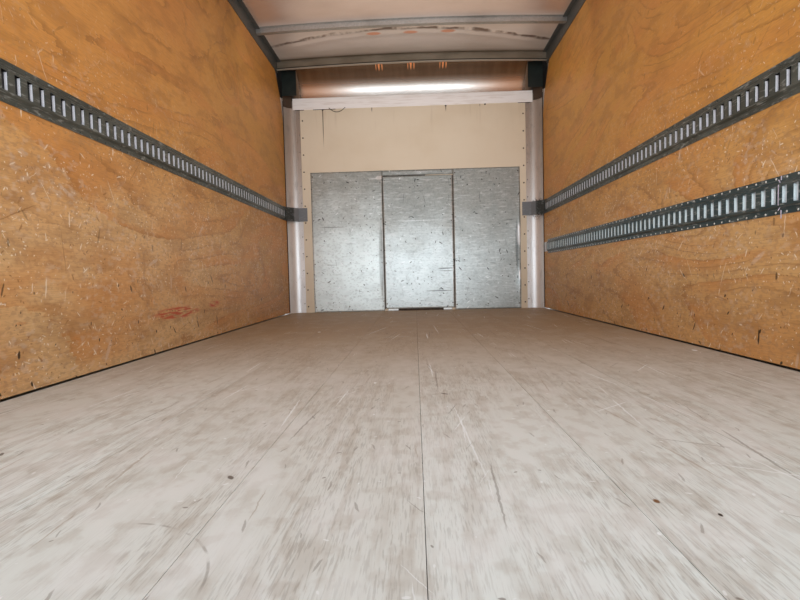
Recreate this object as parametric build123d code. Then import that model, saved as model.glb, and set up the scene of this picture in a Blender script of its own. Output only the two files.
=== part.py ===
from build123d import *
import os
from math import cos, radians, sin, sqrt

os.makedirs("parts", exist_ok=True)

# Cargo box body of a box truck, off its chassis, standing on its two long sills.
# Both rear doors are folded back along the sides, as when it is being loaded.
# Millimetres. X to the right, Y forward, Z up. The sills' undersides are at Z = 0.

# Load space
inside_length = 4877        # rear face of the frame to the front lining
inside_width = 2488.5       # between the plywood faces
bow_height = 2316           # floor to the underside of a roof bow, at the wall

# Walls, from the inside out
plywood = 12.7
post_depth = 36.45
skin = 2
lining_sheet = 9.5          # pale sheet of the front wall
post_face = 40              # face of a hat post, on the skin
post_foot = 35              # each foot of a hat post, on the lining
post_wall = 2
post_pitch = 610

# Floor and what carries it
sill_height = 127
sill_flange = 57
sill_wall = 6
sill_spacing = 800          # between the two sills' webs
body_bolt_radius = 8.75
body_bolt_spacing = 3200
beam_height = 76
beam_flange = 59
beam_wall = 5
beam_pitch = 305
first_beam = 200
floor_thick = 29
board_count = 8
board_seam = 1
board_edge_gap = 0.75       # outer boards to the plywood's plane
rail_leg = 60               # bottom rail's height above the floor
rail_wall = 4
ledge_wall = 4

# Roof
crown = 30
roof_skin_thick = 2
bow_depth = 40
bow_face = 40
bow_flange = 18
bow_wall = 2
front_bow_depth = 84
front_bow_flange = 30
top_rail_wall = 4
top_rail_lip = 39           # how far the roof flange reaches in from the plywood
top_rail_leg = 40           # outer leg below the plywood's top edge
top_rail_inset = 6          # inner leg stands in from the plywood face
plywood_drop = 61           # plywood's top edge below a roof bow's underside
lining_foot_gap = 8         # plywood above the floor
lining_cut_back = 230       # upper front corner, cut to follow the nose
lining_cut_drop = 231
lining_knee_back = 64
lining_knee_drop = 48

# Nose and corners
corner_radius = 150
nose_radius = 307
nose_set_in = 40.4          # nose panel's edge in from a corner's centre
lining_set_in = 48.4        # the same for the front lining
cap_wall = 3
post_tongue = 30
flange_reach = 60           # corner post's flange behind the front lining
post_rib = 5                # rib where that flange meets the cove
casting_rise = 109          # casting's top above the lining's cap
casting_height = 200
casting_wall = 8
casting_from = 6            # degrees of the cove that the casting spans
casting_to = 74
casting_bevel_in = 40       # its top corner, cut off beside the gusset
casting_bevel_down = 60

# Front wall: posts, the lining's cap and its wear plates
front_post_margin = 117     # outer post's middle in from the lining's edge
front_post_inner = 560
cap_rise = 20               # cap's top above the line where the nose starts to curve
cap_height = 110
cap_lap = 20.6              # cap's end past a corner's centre
cap_sheet = 3
cap_rib = 2                 # two ribs pressed along the cap's face
cap_rib_width = 10
cap_rib_in = 14             # each rib in from the face's edge
plate = 1.5
plate_left_margin = 84      # plate's outer edge in from the lining's edge
plate_right_margin = 62
plate_top = 1379
panel_left = -304
panel_right = 381
panel_top = 1321
panel_foot = 20             # gap under the access panel
plate_gap = 6
plate_seam = 1
doorway_lap = 24            # access panel's lap on the lining round the doorway
cleat_left = -177
cleat_right = 270
cleat_depth = 30
jamb_wall = 2

# Logistic track
track_height = 130
track_proud = 12.7
track_wall = 2.7
track_foot = 90             # height of the raised part at the wall
track_face = 75             # height of the slotted face
slot_width = 24
slot_height = 60
slot_pitch = 50.8
track_upper_z = 967.4
track_lower_z = 587.4
track_start = 76
track_front_gap = 93        # track's front end to the end of the plywood
track_lower_gap = 130
track_joint = 1661          # where the lower track's two lengths meet
track_seam = 1
strap_below = 62.4          # corner strap's edges about the upper track's middle
strap_above = 69.6
strap_lap = 90.4            # strap's end in from a corner's centre
strap_bend_in = 3.4         # its bend in from the same
strap_back = 27
strap_tail = 60
strap_wall = 3

# Rear frame
frame_depth = 60
frame_post = 76
frame_wall = 4
header_rise = 7             # header's underside above the plywood
rear_sill_low = 60

# Rear doors, given as they close, then turned open about their pins
door_thick = 32
door_gap = 5                # behind the frame
door_half_seam = 3
door_side_gap = 5.4         # door's edge in from the frame's side
door_below = 40             # lap below the floor's top
door_lap = 49               # lap over the header
door_edging = 38            # width of the door's edge channel, seen from inside
door_recess = 3             # the channel stands proud of the panel's inner face
pin_behind = 45             # pin behind the door's outer face
barrel_radius = 10
pin_radius = 5.5
pin_clear = 0.3
round_sides = 12            # flats round a knuckle, a pin or a lock rod
butt_wall = 6
butt_notch = 28
knuckle = 40
knuckle_gap = 1
strap_thick = 6
strap_reach = 150
strap_set = 6               # hinge strap's leg in from the door's edge
hinge_count = 4
hinge_from_end = 150        # end hinge's middle from the door's end
rod_from_centre = 150
rod_radius = 11
rod_off = 20
rod_past_door = 30
cam = 28
guide_count = 4
guide_from_end = 60
guide_width = 70
guide_height = 40
handle_height = 1000
handle_length = 420
handle_wide = 24
handle_thick = 9
keeper_half_gap = 25
keeper_wall = 8
keeper_reach = 62
keeper_height = 36
keeper_clear = 8

# Marker lamps
lamp_width = 100
lamp_height = 34
lamp_deep = 20
lamp_pitch = 305
lamp_angle = 66
lamp_hole = 24              # square hole for a lamp's wires
rear_lamp_rise = 41         # lamp's middle above the door's top

# Places worked out from the sizes above
inside_half = inside_width / 2
wall = plywood + post_depth + skin
body_half = inside_half + wall
floor_bottom = sill_height + beam_height
floor_top = floor_bottom + floor_thick
roof_side = floor_top + bow_height + bow_depth + roof_skin_thick
roof_top = roof_side + crown
crown_radius = (body_half ** 2 + crown ** 2) / (2 * crown)
body_length = inside_length + lining_sheet + wall
pin_reach = door_gap + door_thick + pin_behind
rear = -(body_length - pin_reach - barrel_radius) / 2
front = rear + body_length
lining_face = rear + inside_length
lining_back = lining_face + lining_sheet
corner_x = body_half - corner_radius
corner_y = front - corner_radius
cove_radius = corner_radius - wall
nose_y = front - nose_radius
nose_z = roof_top - nose_radius
nose_half = corner_x - nose_set_in
lining_half = corner_x - lining_set_in
cap_half = corner_x + cap_lap
cap_high = nose_z - floor_top + cap_rise
cap_low = cap_high - cap_height
casting_high = cap_high + casting_rise
plate_left = plate_left_margin - lining_half
plate_right = lining_half - plate_right_margin
body_start = rear + frame_depth
plywood_end = corner_y
plywood_top = bow_height - plywood_drop
rail_low = floor_top + plywood_top - top_rail_leg
header_low = plywood_top + header_rise
door_top = header_low + door_lap
door_edge = body_half - door_side_gap
board_room = inside_width - 2 * board_edge_gap - (board_count - 1) * board_seam
board_width = board_room / board_count
overshoot = 10              # how far a cutting form runs past what it trims


def block(x0, x1, y0, y1, z0, z1):
    """A box between two corners."""
    middle = Pos((x0 + x1) / 2, (y0 + y1) / 2, (z0 + z1) / 2)
    return middle * Box(x1 - x0, y1 - y0, z1 - z0)


def along_x(face, x0, x1):
    """Extrude a (Y, Z) section from x0 to x1."""
    return extrude(Plane(origin=(x0, 0, 0), x_dir=(0, 1, 0), z_dir=(1, 0, 0)) * face, amount=x1 - x0)


def along_y(face, y0, y1):
    """Extrude an (X, Z) section from y0 to y1."""
    return extrude(Plane(origin=(0, y1, 0), x_dir=(1, 0, 0), z_dir=(0, -1, 0)) * face, amount=y1 - y0)


def along_z(face, z0, z1):
    """Extrude an (X, Y) plan from z0 to z1."""
    return extrude(Plane(origin=(0, 0, z0), x_dir=(1, 0, 0), z_dir=(0, 0, 1)) * face, amount=z1 - z0)


def strip(u0, u1, v0, v1):
    """A flat rectangle between two corners."""
    return Pos((u0 + u1) / 2, (v0 + v1) / 2) * Rectangle(u1 - u0, v1 - v0)


def other_side(shape):
    """The left piece of a pair, from the right one."""
    return mirror(shape, about=Plane.YZ)


def save(name, *solids):
    """Write one node of one or more solids."""
    shapes = [solid for shape in solids for solid in shape.solids()]
    piece = shapes[0] if len(shapes) == 1 else Compound(children=shapes)
    export_step(piece, f"parts/{name}.step")


def save_pair(name, shape):
    """Write a right-hand piece and its mirror image."""
    save(f"{name}_right", shape)
    save(f"{name}_left", other_side(shape))


# Outer form of the body, or the same form set in by a thickness


def plan(inset):
    """Plan with two rounded front corners."""
    half = body_half - inset
    end = front - inset
    radius = corner_radius - inset
    mid_x = corner_x + radius * sqrt(0.5)
    mid_y = corner_y + radius * sqrt(0.5)
    corner = ThreePointArc((half, corner_y), (mid_x, mid_y), (corner_x, end))
    far_corner = ThreePointArc((-corner_x, end), (-mid_x, mid_y), (-half, corner_y))
    across = Line((corner_x, end), (-corner_x, end))
    back = Polyline((-half, corner_y), (-half, rear), (half, rear), (half, corner_y))
    return make_face([corner, across, far_corner, back])


def side_profile(inset, low):
    """Side view with the nose's large radius."""
    end = front - inset
    top = roof_top - inset
    diagonal = (nose_radius - inset) * sqrt(0.5)
    nose = ThreePointArc((end, nose_z), (nose_y + diagonal, nose_z + diagonal), (nose_y, top))
    rest = Polyline((nose_y, top), (rear, top), (rear, low), (end, low), (end, nose_z))
    return make_face([nose, rest])


def crown_band(depth, low, half=body_half):
    """Rear view between two depths under the crowned roof; all crowns share one curvature."""
    rise = crown_radius - sqrt(crown_radius ** 2 - half ** 2)
    side = roof_top - rise
    upper = ThreePointArc((-half, side - depth), (0, roof_top - depth), (half, side - depth))
    lower = ThreePointArc((half, side - low), (0, roof_top - low), (-half, side - low))
    ends = [Line((half, side - depth), (half, side - low)), Line((-half, side - low), (-half, side - depth))]
    return make_face([upper, ends[0], lower, ends[1]])


def body_form(inset):
    """The whole outer form, from the cross beams' underside up."""
    low = sill_height
    reach = body_half + overshoot
    sides = along_z(plan(inset), low, roof_top + overshoot)
    nose = along_x(side_profile(inset, low - overshoot), -reach, reach)
    roof = along_y(crown_band(inset, roof_top, reach), rear - overshoot, front + overshoot)
    return nose & roof & sides


outer_form = body_form(0)
sheet_form = body_form(skin)
cap_form = body_form(cap_wall)


# Long sills: two steel channels that stand on the chassis rails, with four body bolt holes


def long_sill():
    web = strip(sill_spacing / 2 - sill_wall, sill_spacing / 2, 0, sill_height)
    low = strip(sill_spacing / 2, sill_spacing / 2 + sill_flange, 0, sill_wall)
    high = strip(sill_spacing / 2, sill_spacing / 2 + sill_flange, sill_height - sill_wall, sill_height)
    channel = along_y(web + low + high, body_start, lining_back)
    hole_x = (sill_spacing + sill_flange) / 2
    for hole_y in (-body_bolt_spacing / 2, body_bolt_spacing / 2):
        channel -= Pos(hole_x, hole_y, sill_wall / 2) * Cylinder(body_bolt_radius, 2 * sill_wall)
    return channel


save_pair("long_sill", long_sill())


# Cross beams: steel I sections on the sills, under the floor


def cross_beams():
    half = beam_flange / 2
    flanges = strip(-half, half, 0, beam_wall) + strip(-half, half, beam_height - beam_wall, beam_height)
    section = flanges + strip(-beam_wall / 2, beam_wall / 2, 0, beam_height)
    reach = body_half - rail_wall
    beam = along_x(section, -reach, reach)
    count = int((plywood_end - rear - first_beam) / beam_pitch) + 1
    return [Pos(0, rear + first_beam + i * beam_pitch, sill_height) * beam for i in range(count)]


save("cross_beams", *cross_beams())


# Floor: hardwood boards laid lengthwise, cut round the two front corners


def floor_boards():
    room = along_z(plan(wall), floor_bottom, floor_top)
    left = board_edge_gap - inside_half
    boards = []
    for i in range(board_count):
        x0 = left + i * (board_width + board_seam)
        board = block(x0, x0 + board_width, body_start, lining_back, floor_bottom, floor_top)
        boards.append(board & room)
    return boards


save("floor_boards", *floor_boards())


# Bottom rails: aluminium angles that close the floor's edge and carry the side posts


def bottom_rail():
    leg = strip(body_half - rail_wall, body_half, sill_height, floor_top + rail_leg)
    ledge = strip(inside_half, body_half - rail_wall, floor_bottom, floor_bottom + ledge_wall)
    return along_y(leg + ledge, body_start, corner_y)


save_pair("bottom_rail", bottom_rail())

# Front sill: closes the floor's front edge under the front wall
front_inner = front - skin
sill_outer = strip(lining_back, front_inner, sill_height, floor_top)
sill_inner = strip(
    lining_back + rail_wall, front_inner - rail_wall, sill_height + rail_wall, floor_top - rail_wall,
)
save("front_sill", along_x(sill_outer - sill_inner, -corner_x, corner_x))


# Side and front posts: pressed hat sections between the lining and the skin


def hat_section(depth):
    """Feet on the lining at zero, face on the skin at the depth."""
    face = strip(-post_face / 2, post_face / 2, depth - post_wall, depth)
    feet = [strip(s * post_face / 2, s * (post_face / 2 + post_foot), 0, post_wall) for s in (-1, 1)]
    sides = [strip(s * post_face / 2, s * (post_face / 2 - post_wall), 0, depth) for s in (-1, 1)]
    return face + feet + sides


def side_posts():
    section = Rot(0, 0, -90) * hat_section(post_depth)
    post = along_z(section, floor_top + rail_leg, rail_low)
    first = nose_y - post_face / 2 - post_foot
    count = int((first - body_start) / post_pitch) + 1
    return [Pos(inside_half + plywood, first - i * post_pitch, 0) * post for i in range(count)]


side_post_row = side_posts()
save("side_posts_right", *side_post_row)
save("side_posts_left", *[other_side(post) for post in side_post_row])


# Side skins: flat sheet between the two rails, cut back at the corner cap


def side_skin():
    sheet = block(body_half - skin, body_half, body_start, corner_y, floor_top + rail_leg, rail_low)
    return sheet - block(0, body_half + skin, nose_y, front, nose_z, roof_top)


save_pair("side_skin", side_skin())


# Side lining: plywood sheets split behind the tracks, the upper one cut to follow the nose


def lining(low, high):
    sheet = block(inside_half, inside_half + plywood, body_start, plywood_end, low, high)
    cut_top = floor_top + plywood_top + 1
    corner = Polyline(
        (plywood_end - lining_cut_back, cut_top),
        (plywood_end - lining_knee_back, nose_z - lining_knee_drop),
        (plywood_end + 1, nose_z - lining_cut_drop),
        (plywood_end + 1, cut_top),
        close=True,
    )
    return sheet - along_x(make_face(corner), inside_half - 1, body_half)


track_split = track_foot / 2
upper_z = floor_top + track_upper_z
lower_z = floor_top + track_lower_z
lining_rows = (
    # name, side, low, high
    ("lining_left_lower", -1, floor_top + lining_foot_gap, upper_z - track_split),
    ("lining_left_upper", -1, upper_z + track_split, floor_top + plywood_top),
    ("lining_right_lower", 1, floor_top + lining_foot_gap, lower_z - track_split),
    ("lining_right_middle", 1, lower_z + track_split, upper_z - track_split),
    ("lining_right_upper", 1, upper_z + track_split, floor_top + plywood_top),
)
for name, side, low, high in lining_rows:
    sheet = lining(low, high)
    save(name, sheet if side > 0 else other_side(sheet))


# Logistic tracks: pressed steel hats with a row of upright slots, over pale filler strips


def track(start, end, height):
    """One length of right-hand track, its first slot half a pitch in from its front end."""
    top = track_height / 2
    foot = track_foot / 2
    face = track_face / 2
    proud = track_proud
    back = proud - track_wall
    outline = Polyline(
        (0, -top), (track_wall, -top), (track_wall, -foot), (proud, -face), (proud, face),
        (track_wall, foot), (track_wall, top), (0, top), (0, foot - track_wall), (back, face - track_wall),
        (back, track_wall - face), (0, track_wall - foot),
        close=True,
    )
    section = Pos(inside_half, height) * mirror(make_face(outline), about=Plane.YZ)
    length = along_y(section, start, end)
    first = end - slot_pitch / 2
    count = int((first - start - slot_width) / slot_pitch) + 1
    slot = Pos(inside_half - proud, first, height) * Box(4 * track_wall, slot_width, slot_height)
    return length - [Pos(0, -i * slot_pitch, 0) * slot for i in range(count)]


track_end = plywood_end - track_front_gap
track_lower_end = plywood_end - track_lower_gap
upper_track = track(rear + track_start, track_end, upper_z)
save("track_right_upper", upper_track)
save("track_left", other_side(upper_track))
lower_rear = track(rear + track_start, rear + track_joint - track_seam, lower_z)
lower_front = track(rear + track_joint, track_lower_end, lower_z)
save("track_right_lower", lower_rear, lower_front)


def filler(height):
    """Pale strip in the gap between two plywood sheets, behind a track."""
    low = height - track_split
    return block(inside_half, inside_half + plywood, body_start, plywood_end, low, low + track_foot)


save("track_fillers", filler(upper_z), filler(lower_z), other_side(filler(upper_z)))


# Corner straps: bent plates that carry the upper tracks' ends on to the front wall


def corner_strap():
    start = plywood_end - strap_back
    strap_end = corner_x - strap_lap
    strap_bend = corner_x - strap_bend_in
    bend_back = strap_wall / 2
    outline = Polyline(
        (strap_end, lining_face), (strap_bend, lining_face), (inside_half, start),
        (inside_half, start - strap_tail), (inside_half - strap_wall, start - strap_tail),
        (inside_half - strap_wall, start - bend_back), (strap_bend - bend_back, lining_face - strap_wall),
        (strap_end, lining_face - strap_wall),
        close=True,
    )
    return along_z(make_face(outline), upper_z - strap_below, upper_z + strap_above)


save("corner_straps", corner_strap(), other_side(corner_strap()))


# Top rails: aluminium box extrusions on the plywood and posts, with a flange under the roof


def top_rail():
    low = floor_top + plywood_top
    leg = strip(body_half - top_rail_wall, body_half, rail_low, roof_top)
    ledge = strip(inside_half - top_rail_inset, body_half, low, low + top_rail_wall)
    inner_x = inside_half - top_rail_inset
    inner = strip(inner_x, inner_x + top_rail_wall, low, roof_top)
    lip_z = roof_side - roof_skin_thick - top_rail_wall
    lip = strip(inside_half - top_rail_lip, body_half, lip_z, roof_top)
    rail = along_y(leg + ledge + inner + lip, body_start, nose_y)
    return rail & under_roof


under_roof = along_y(crown_band(roof_skin_thick, roof_top, body_half + overshoot), rear, front)
right_rail = top_rail()
save_pair("top_rail", right_rail)
left_rail = other_side(right_rail)


# Roof bows: pressed hats bent to the roof's crown, seated under the rails' flanges


def bow(bands):
    """A bow from a table of (y start, y end, depth, low), with y about its middle."""
    reach = inside_half - top_rail_inset
    pieces = [along_y(crown_band(depth, low, reach), y0, y1) for y0, y1, depth, low in bands]
    whole = pieces[0]
    for piece in pieces[1:]:
        whole += piece
    return whole


def hat_bow():
    top = roof_skin_thick
    low = top + bow_depth
    half = bow_face / 2
    edge = half + bow_flange
    return bow((
        (-half, half, low - bow_wall, low),
        (-half, bow_wall - half, top, low),
        (half - bow_wall, half, top, low),
        (-edge, -half, top, top + bow_wall),
        (half, edge, top, top + bow_wall),
    ))


def edge_bow():
    top = roof_skin_thick
    low = top + front_bow_depth
    return bow((
        (-bow_wall, 0, top, low),
        (-front_bow_flange, -bow_wall, low - bow_wall, low),
        (-front_bow_flange, -bow_wall, top, top + bow_wall),
    ))


front_bow_y = nose_y
bow_rows = int((front_bow_y - body_start) / post_pitch)
plain_bow = hat_bow()
bows = []
for i in range(bow_rows):
    placed = Pos(0, front_bow_y - (i + 1) * post_pitch, 0) * plain_bow
    bows.append(placed - right_rail - left_rail)
save("roof_bows", *bows)
save("front_bow", Pos(0, front_bow_y, 0) * edge_bow() - right_rail - left_rail)

# Roof skin: one crowned sheet from the rear header to the nose
save("roof_skin", along_y(crown_band(0, roof_skin_thick), body_start, nose_y))

# Nose panel: rolled sheet over the large radius, with three lamp holes
nose_shell = outer_form - sheet_form
nose_panel = nose_shell & block(-nose_half, nose_half, nose_y, front, nose_z, roof_top)
lamp_seats = []
for i in (-1, 0, 1):
    lamp_seats.append(Pos(i * lamp_pitch, nose_y, nose_z) * Rot(lamp_angle, 0, 0))
for seat in lamp_seats:
    nose_panel -= seat * Pos(0, nose_radius, 0) * Box(lamp_hole, 2 * lamp_deep, lamp_hole)
save("nose_panel", nose_panel)

# Corner caps: rounded shells where the nose, the roof and the corner posts meet
cap_shell = outer_form - cap_form
corner_cap = cap_shell & block(nose_half, body_half, nose_y, front, nose_z, roof_top)
save_pair("corner_cap", corner_cap)

# Corner gussets: flat plates that close the inside of the caps, above the lining cap
gusset_space = block(nose_half, inside_half, corner_y, corner_y + cap_wall, floor_top + cap_high, roof_top)
gusset = gusset_space & cap_form
save("corner_gussets", gusset, other_side(gusset))


# Corner posts: two-walled aluminium extrusions, round outside and coved inside


def corner_post():
    centre = Pos(corner_x, corner_y)
    quarter = strip(corner_x, body_half, corner_y, front)
    outer = centre * (Circle(corner_radius) - Circle(corner_radius - cap_wall)) & quarter
    cove = centre * (Circle(cove_radius + cap_wall) - Circle(cove_radius)) & quarter
    webs = (
        strip(inside_half, body_half, corner_y, corner_y + cap_wall)
        + strip(corner_x, corner_x + cap_wall, lining_back, front)
    )
    flange = strip(corner_x - flange_reach, corner_x, lining_back, lining_back + cap_wall)
    rib = strip(corner_x - cap_wall, corner_x, lining_back - post_rib, lining_back)
    side_x = inside_half + plywood
    side_tongue = strip(side_x, side_x + cap_wall, corner_y - post_tongue, corner_y)
    skin_x = body_half - skin
    skin_tongue = strip(skin_x - cap_wall, skin_x, corner_y - post_tongue, corner_y)
    section = outer + cove + webs + flange + rib + side_tongue + skin_tongue
    rail_notch = block(body_half - rail_wall, body_half, rear, corner_y, floor_top, floor_top + rail_leg)
    return along_z(section, floor_top, nose_z) - rail_notch


save_pair("corner_post", corner_post())


# Corner castings: dark cast shoes over the top of the coves


def casting():
    centre = Pos(corner_x, corner_y)
    ring = Circle(cove_radius) - Circle(cove_radius - casting_wall)
    reach = 2 * cove_radius
    corners = []
    for angle in (casting_from, casting_to):
        corners.append((reach * cos(radians(angle)), reach * sin(radians(angle))))
    wedge = make_face(Polyline((0, 0), corners[0], corners[1], close=True))
    shoe_top = floor_top + casting_high
    shoe = along_z(centre * (ring & wedge), shoe_top - casting_height, shoe_top)
    bevel_x = corner_x + (cove_radius - casting_wall) * cos(radians(casting_to))
    bevel = Polyline(
        (bevel_x, shoe_top), (bevel_x, shoe_top - casting_bevel_down), (bevel_x + casting_bevel_in, shoe_top),
        close=True,
    )
    shoe -= along_y(make_face(bevel), corner_y, front)
    return shoe - block(0, cap_half + casting_wall, rear, front, 0, floor_top + cap_high)


save("corner_castings", casting(), other_side(casting()))

# Front skin, its posts, the pale lining and the lining's cap, with the walk-through doorway
doorway = block(
    panel_left + doorway_lap, panel_right - doorway_lap, lining_face - 1, front + 1,
    floor_top, floor_top + panel_top - doorway_lap,
)
front_skin = block(-corner_x, corner_x, front_inner, front, sill_height, nose_z)
save("front_skin", front_skin - doorway)
shelf_low = floor_top + cap_high - cap_sheet
front_lining = block(-lining_half, lining_half, lining_face, lining_back, floor_top, shelf_low)
save("front_lining", front_lining - doorway)

front_depth = front_inner - lining_back
front_post = along_z(hat_section(front_depth), floor_top, nose_z)
front_post_outer = lining_half - front_post_margin
front_post_places = (-front_post_outer, -front_post_inner, front_post_inner, front_post_outer)
save("front_posts", *[Pos(x, lining_back, 0) * front_post for x in front_post_places])

cap_front = lining_face - cap_sheet
cap_face = strip(cap_front, lining_face, floor_top + cap_low, floor_top + cap_high)
for rib_low in (cap_low + cap_rib_in, cap_high - cap_rib_in - cap_rib_width):
    rib_z = floor_top + rib_low
    cap_face += strip(cap_front - cap_rib, cap_front, rib_z, rib_z + cap_rib_width)
cap_bar = along_x(cap_face, -cap_half, cap_half)
cap_shelf = block(
    -nose_half, nose_half, cap_front, front, shelf_low, floor_top + cap_high,
)
save("lining_cap", cap_bar + (cap_shelf & sheet_form))

# Wear plates: galvanised sheet on the lining, round the doorway
plate_y = lining_face - plate
plate_high = floor_top + plate_top
inner_left = panel_left - plate_gap
inner_right = panel_right + plate_gap
left_plate = block(plate_left, inner_left, plate_y, lining_face, floor_top, plate_high)
right_plate = block(inner_right, plate_right, plate_y, lining_face, floor_top, plate_high)
top_plate = block(
    inner_left + plate_seam, inner_right - plate_seam, plate_y, lining_face,
    floor_top + panel_top + plate_gap, plate_high,
)
save("wear_plates", left_plate, right_plate, top_plate)

# Access panel: plate screwed over the doorway, short of the floor
panel_low = floor_top + panel_foot
access_panel = block(panel_left, panel_right, plate_y, lining_face, panel_low, floor_top + panel_top)
save("access_panel", access_panel)

# Doorway jamb: bent sheet round the doorway's sides and top, and a cleat on the floor
jamb_out = doorway & block(-inside_half, inside_half, lining_back, front_inner, floor_top, roof_top)
jamb_in = block(
    panel_left + doorway_lap + jamb_wall, panel_right - doorway_lap - jamb_wall, lining_back, front,
    floor_top, floor_top + panel_top - doorway_lap - jamb_wall,
)
save("doorway_jamb", jamb_out - jamb_in)
save("doorway_cleat", block(
    cleat_left, cleat_right, lining_face, lining_face + cleat_depth, floor_top, panel_low,
))

# Rear frame: welded steel box sections round the doorway


def tube(x0, x1, z0, z1, wall_x, wall_z):
    """A box section; a wall of zero leaves that pair of sides open."""
    outer = block(x0, x1, rear, body_start, z0, z1)
    front_wall = body_start - frame_wall
    hollow = block(x0 + wall_x, x1 - wall_x, rear + frame_wall, front_wall, z0 + wall_z, z1 - wall_z)
    return outer - hollow


rear_post = tube(body_half - frame_post, body_half, floor_top, floor_top + header_low, frame_wall, 0)
save_pair("rear_post", rear_post)
save("rear_sill", tube(-body_half, body_half, rear_sill_low, floor_top, frame_wall, frame_wall))
header_form = along_y(crown_band(0, roof_top), rear, body_start)
header = tube(-body_half, body_half, floor_top + header_low, roof_top, frame_wall, 0) & header_form
header_core = along_y(crown_band(frame_wall, roof_top, body_half - frame_wall), rear, body_start)
header_core &= block(
    -body_half, body_half, rear + frame_wall, body_start - frame_wall,
    floor_top + header_low + frame_wall, roof_top,
)
header_whole = block(-body_half, body_half, rear, body_start, floor_top + header_low, roof_top) & header_form
save("rear_header", header_whole - header_core)

# Rear doors, their hinges and lock rods: built closed, then turned open about the pins
pin_x = body_half + butt_wall + barrel_radius - 1
pin_y = rear - pin_reach
door_inner = rear - door_gap
door_outer = door_inner - door_thick
door_low = floor_top - door_below
door_high = floor_top + door_top
pin_place = Pos(pin_x, pin_y, 0)
to_open = pin_place * Rot(0, 0, -90) * Pos(-pin_x, -pin_y, 0)


def spread(first, last, count):
    """Evenly spaced places from the first to the last."""
    return [first + i * (last - first) / (count - 1) for i in range(count)]


def barrel(z0, z1, radius):
    return along_z(Pos(pin_x, pin_y) * RegularPolygon(radius, round_sides), z0, z1)


def frame_hinge(height):
    """Butt on the frame's side, with two knuckles and the pin through all three."""
    z0 = height - 1.5 * knuckle
    z1 = height + 1.5 * knuckle
    butt = block(body_half, body_half + butt_wall, pin_y, pin_y + pin_reach + frame_depth - butt_wall, z0, z1)
    notch_y = pin_y + butt_notch
    low_mid = height - knuckle / 2 - knuckle_gap
    high_mid = height + knuckle / 2 + knuckle_gap
    butt -= block(body_half - 1, body_half + 2 * butt_wall, pin_y - 1, notch_y, low_mid, high_mid)
    butt += barrel(z0, low_mid, barrel_radius)
    butt += barrel(high_mid, z1, barrel_radius)
    return butt + barrel(z0, z1, pin_radius)


def door_hinge(height):
    """Strap on the door's outer face, with the middle knuckle."""
    z0 = height - knuckle / 2
    z1 = height + knuckle / 2
    leg_x = door_edge - strap_set
    strap = block(leg_x - strap_reach, leg_x, door_outer - strap_thick, door_outer, z0, z1)
    strap += block(leg_x - strap_thick, leg_x, pin_y - strap_thick / 2, door_outer, z0, z1)
    strap += block(leg_x - strap_thick, pin_x, pin_y - strap_thick / 2, pin_y + strap_thick / 2, z0, z1)
    strap += barrel(z0, z1, barrel_radius)
    bore_radius = (pin_radius + pin_clear) / cos(radians(180 / round_sides))
    return strap - barrel(z0 - 1, z1 + 1, bore_radius)


hinge_heights = spread(door_low + hinge_from_end, door_high - hinge_from_end, hinge_count)
frame_hinges = [frame_hinge(height) for height in hinge_heights]
save("frame_hinges_right", *frame_hinges)
save("frame_hinges_left", *[other_side(hinge) for hinge in frame_hinges])


def lock_rod():
    """Upright rod with a cam at each end, carried in guides on the door's outer face."""
    y = door_outer - rod_off
    x = rod_from_centre
    low = door_low - rod_past_door
    high = door_high + rod_past_door
    rod = along_z(Pos(x, y) * RegularPolygon(rod_radius, round_sides), low, high)
    for end in (low, high - cam):
        rod += block(x - cam / 2, x + cam / 2, y - cam / 2, y + cam / 2, end, end + cam)
    for z in spread(door_low + guide_from_end, door_high - guide_from_end - guide_height, guide_count):
        rod += block(x - guide_width / 2, x + guide_width / 2, y, door_outer, z, z + guide_height)
    z = floor_top + handle_height
    handle_y = y - rod_radius
    rod += block(x, x + handle_length, handle_y - handle_thick + 4, handle_y + 4, z, z + handle_wide)
    return rod


door = block(door_half_seam, door_edge, door_outer, door_inner, door_low, door_high)
door -= block(
    door_half_seam + door_edging, door_edge - door_edging, door_inner - door_recess, door_inner,
    door_low + door_edging, door_high - door_edging,
)
door_fittings = [door_hinge(height) for height in hinge_heights] + [lock_rod()]
open_door = to_open * door
open_fittings = [to_open * fitting for fitting in door_fittings]
save_pair("door", open_door)
save("door_hardware_right", *open_fittings)
save("door_hardware_left", *[other_side(fitting) for fitting in open_fittings])

# Lock keepers: pairs of lugs on the rear sill and header, each side of a cam
keepers = []
keeper_rows = (
    # low, high
    (door_low - keeper_clear - keeper_height, door_low - keeper_clear),
    (door_high + keeper_clear, door_high + keeper_clear + keeper_height),
)
for low, high in keeper_rows:
    for side in (-1, 1):
        for edge in (-1, 1):
            near = side * rod_from_centre + edge * keeper_half_gap
            far = near + edge * keeper_wall
            keepers.append(block(min(near, far), max(near, far), rear - keeper_reach, rear, low, high))
save("lock_keepers", *keepers)

# Marker lamps: amber on the nose and its corners, red on the rear header
lamp = Box(lamp_width, lamp_deep, lamp_height)
front_lamps = [seat * Pos(0, nose_radius + lamp_deep / 2, 0) * lamp for seat in lamp_seats]
save("marker_lamps_front", *front_lamps)
rear_lamp_y = rear - lamp_deep / 2
rear_lamp_z = door_high + rear_lamp_rise
rear_lamps = [Pos(i * lamp_pitch, rear_lamp_y, rear_lamp_z) * lamp for i in (-1, 0, 1)]
save("marker_lamps_rear", *rear_lamps)
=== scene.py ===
import math

import bmesh
import bpy
from mathutils import Matrix, Vector, noise


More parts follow.
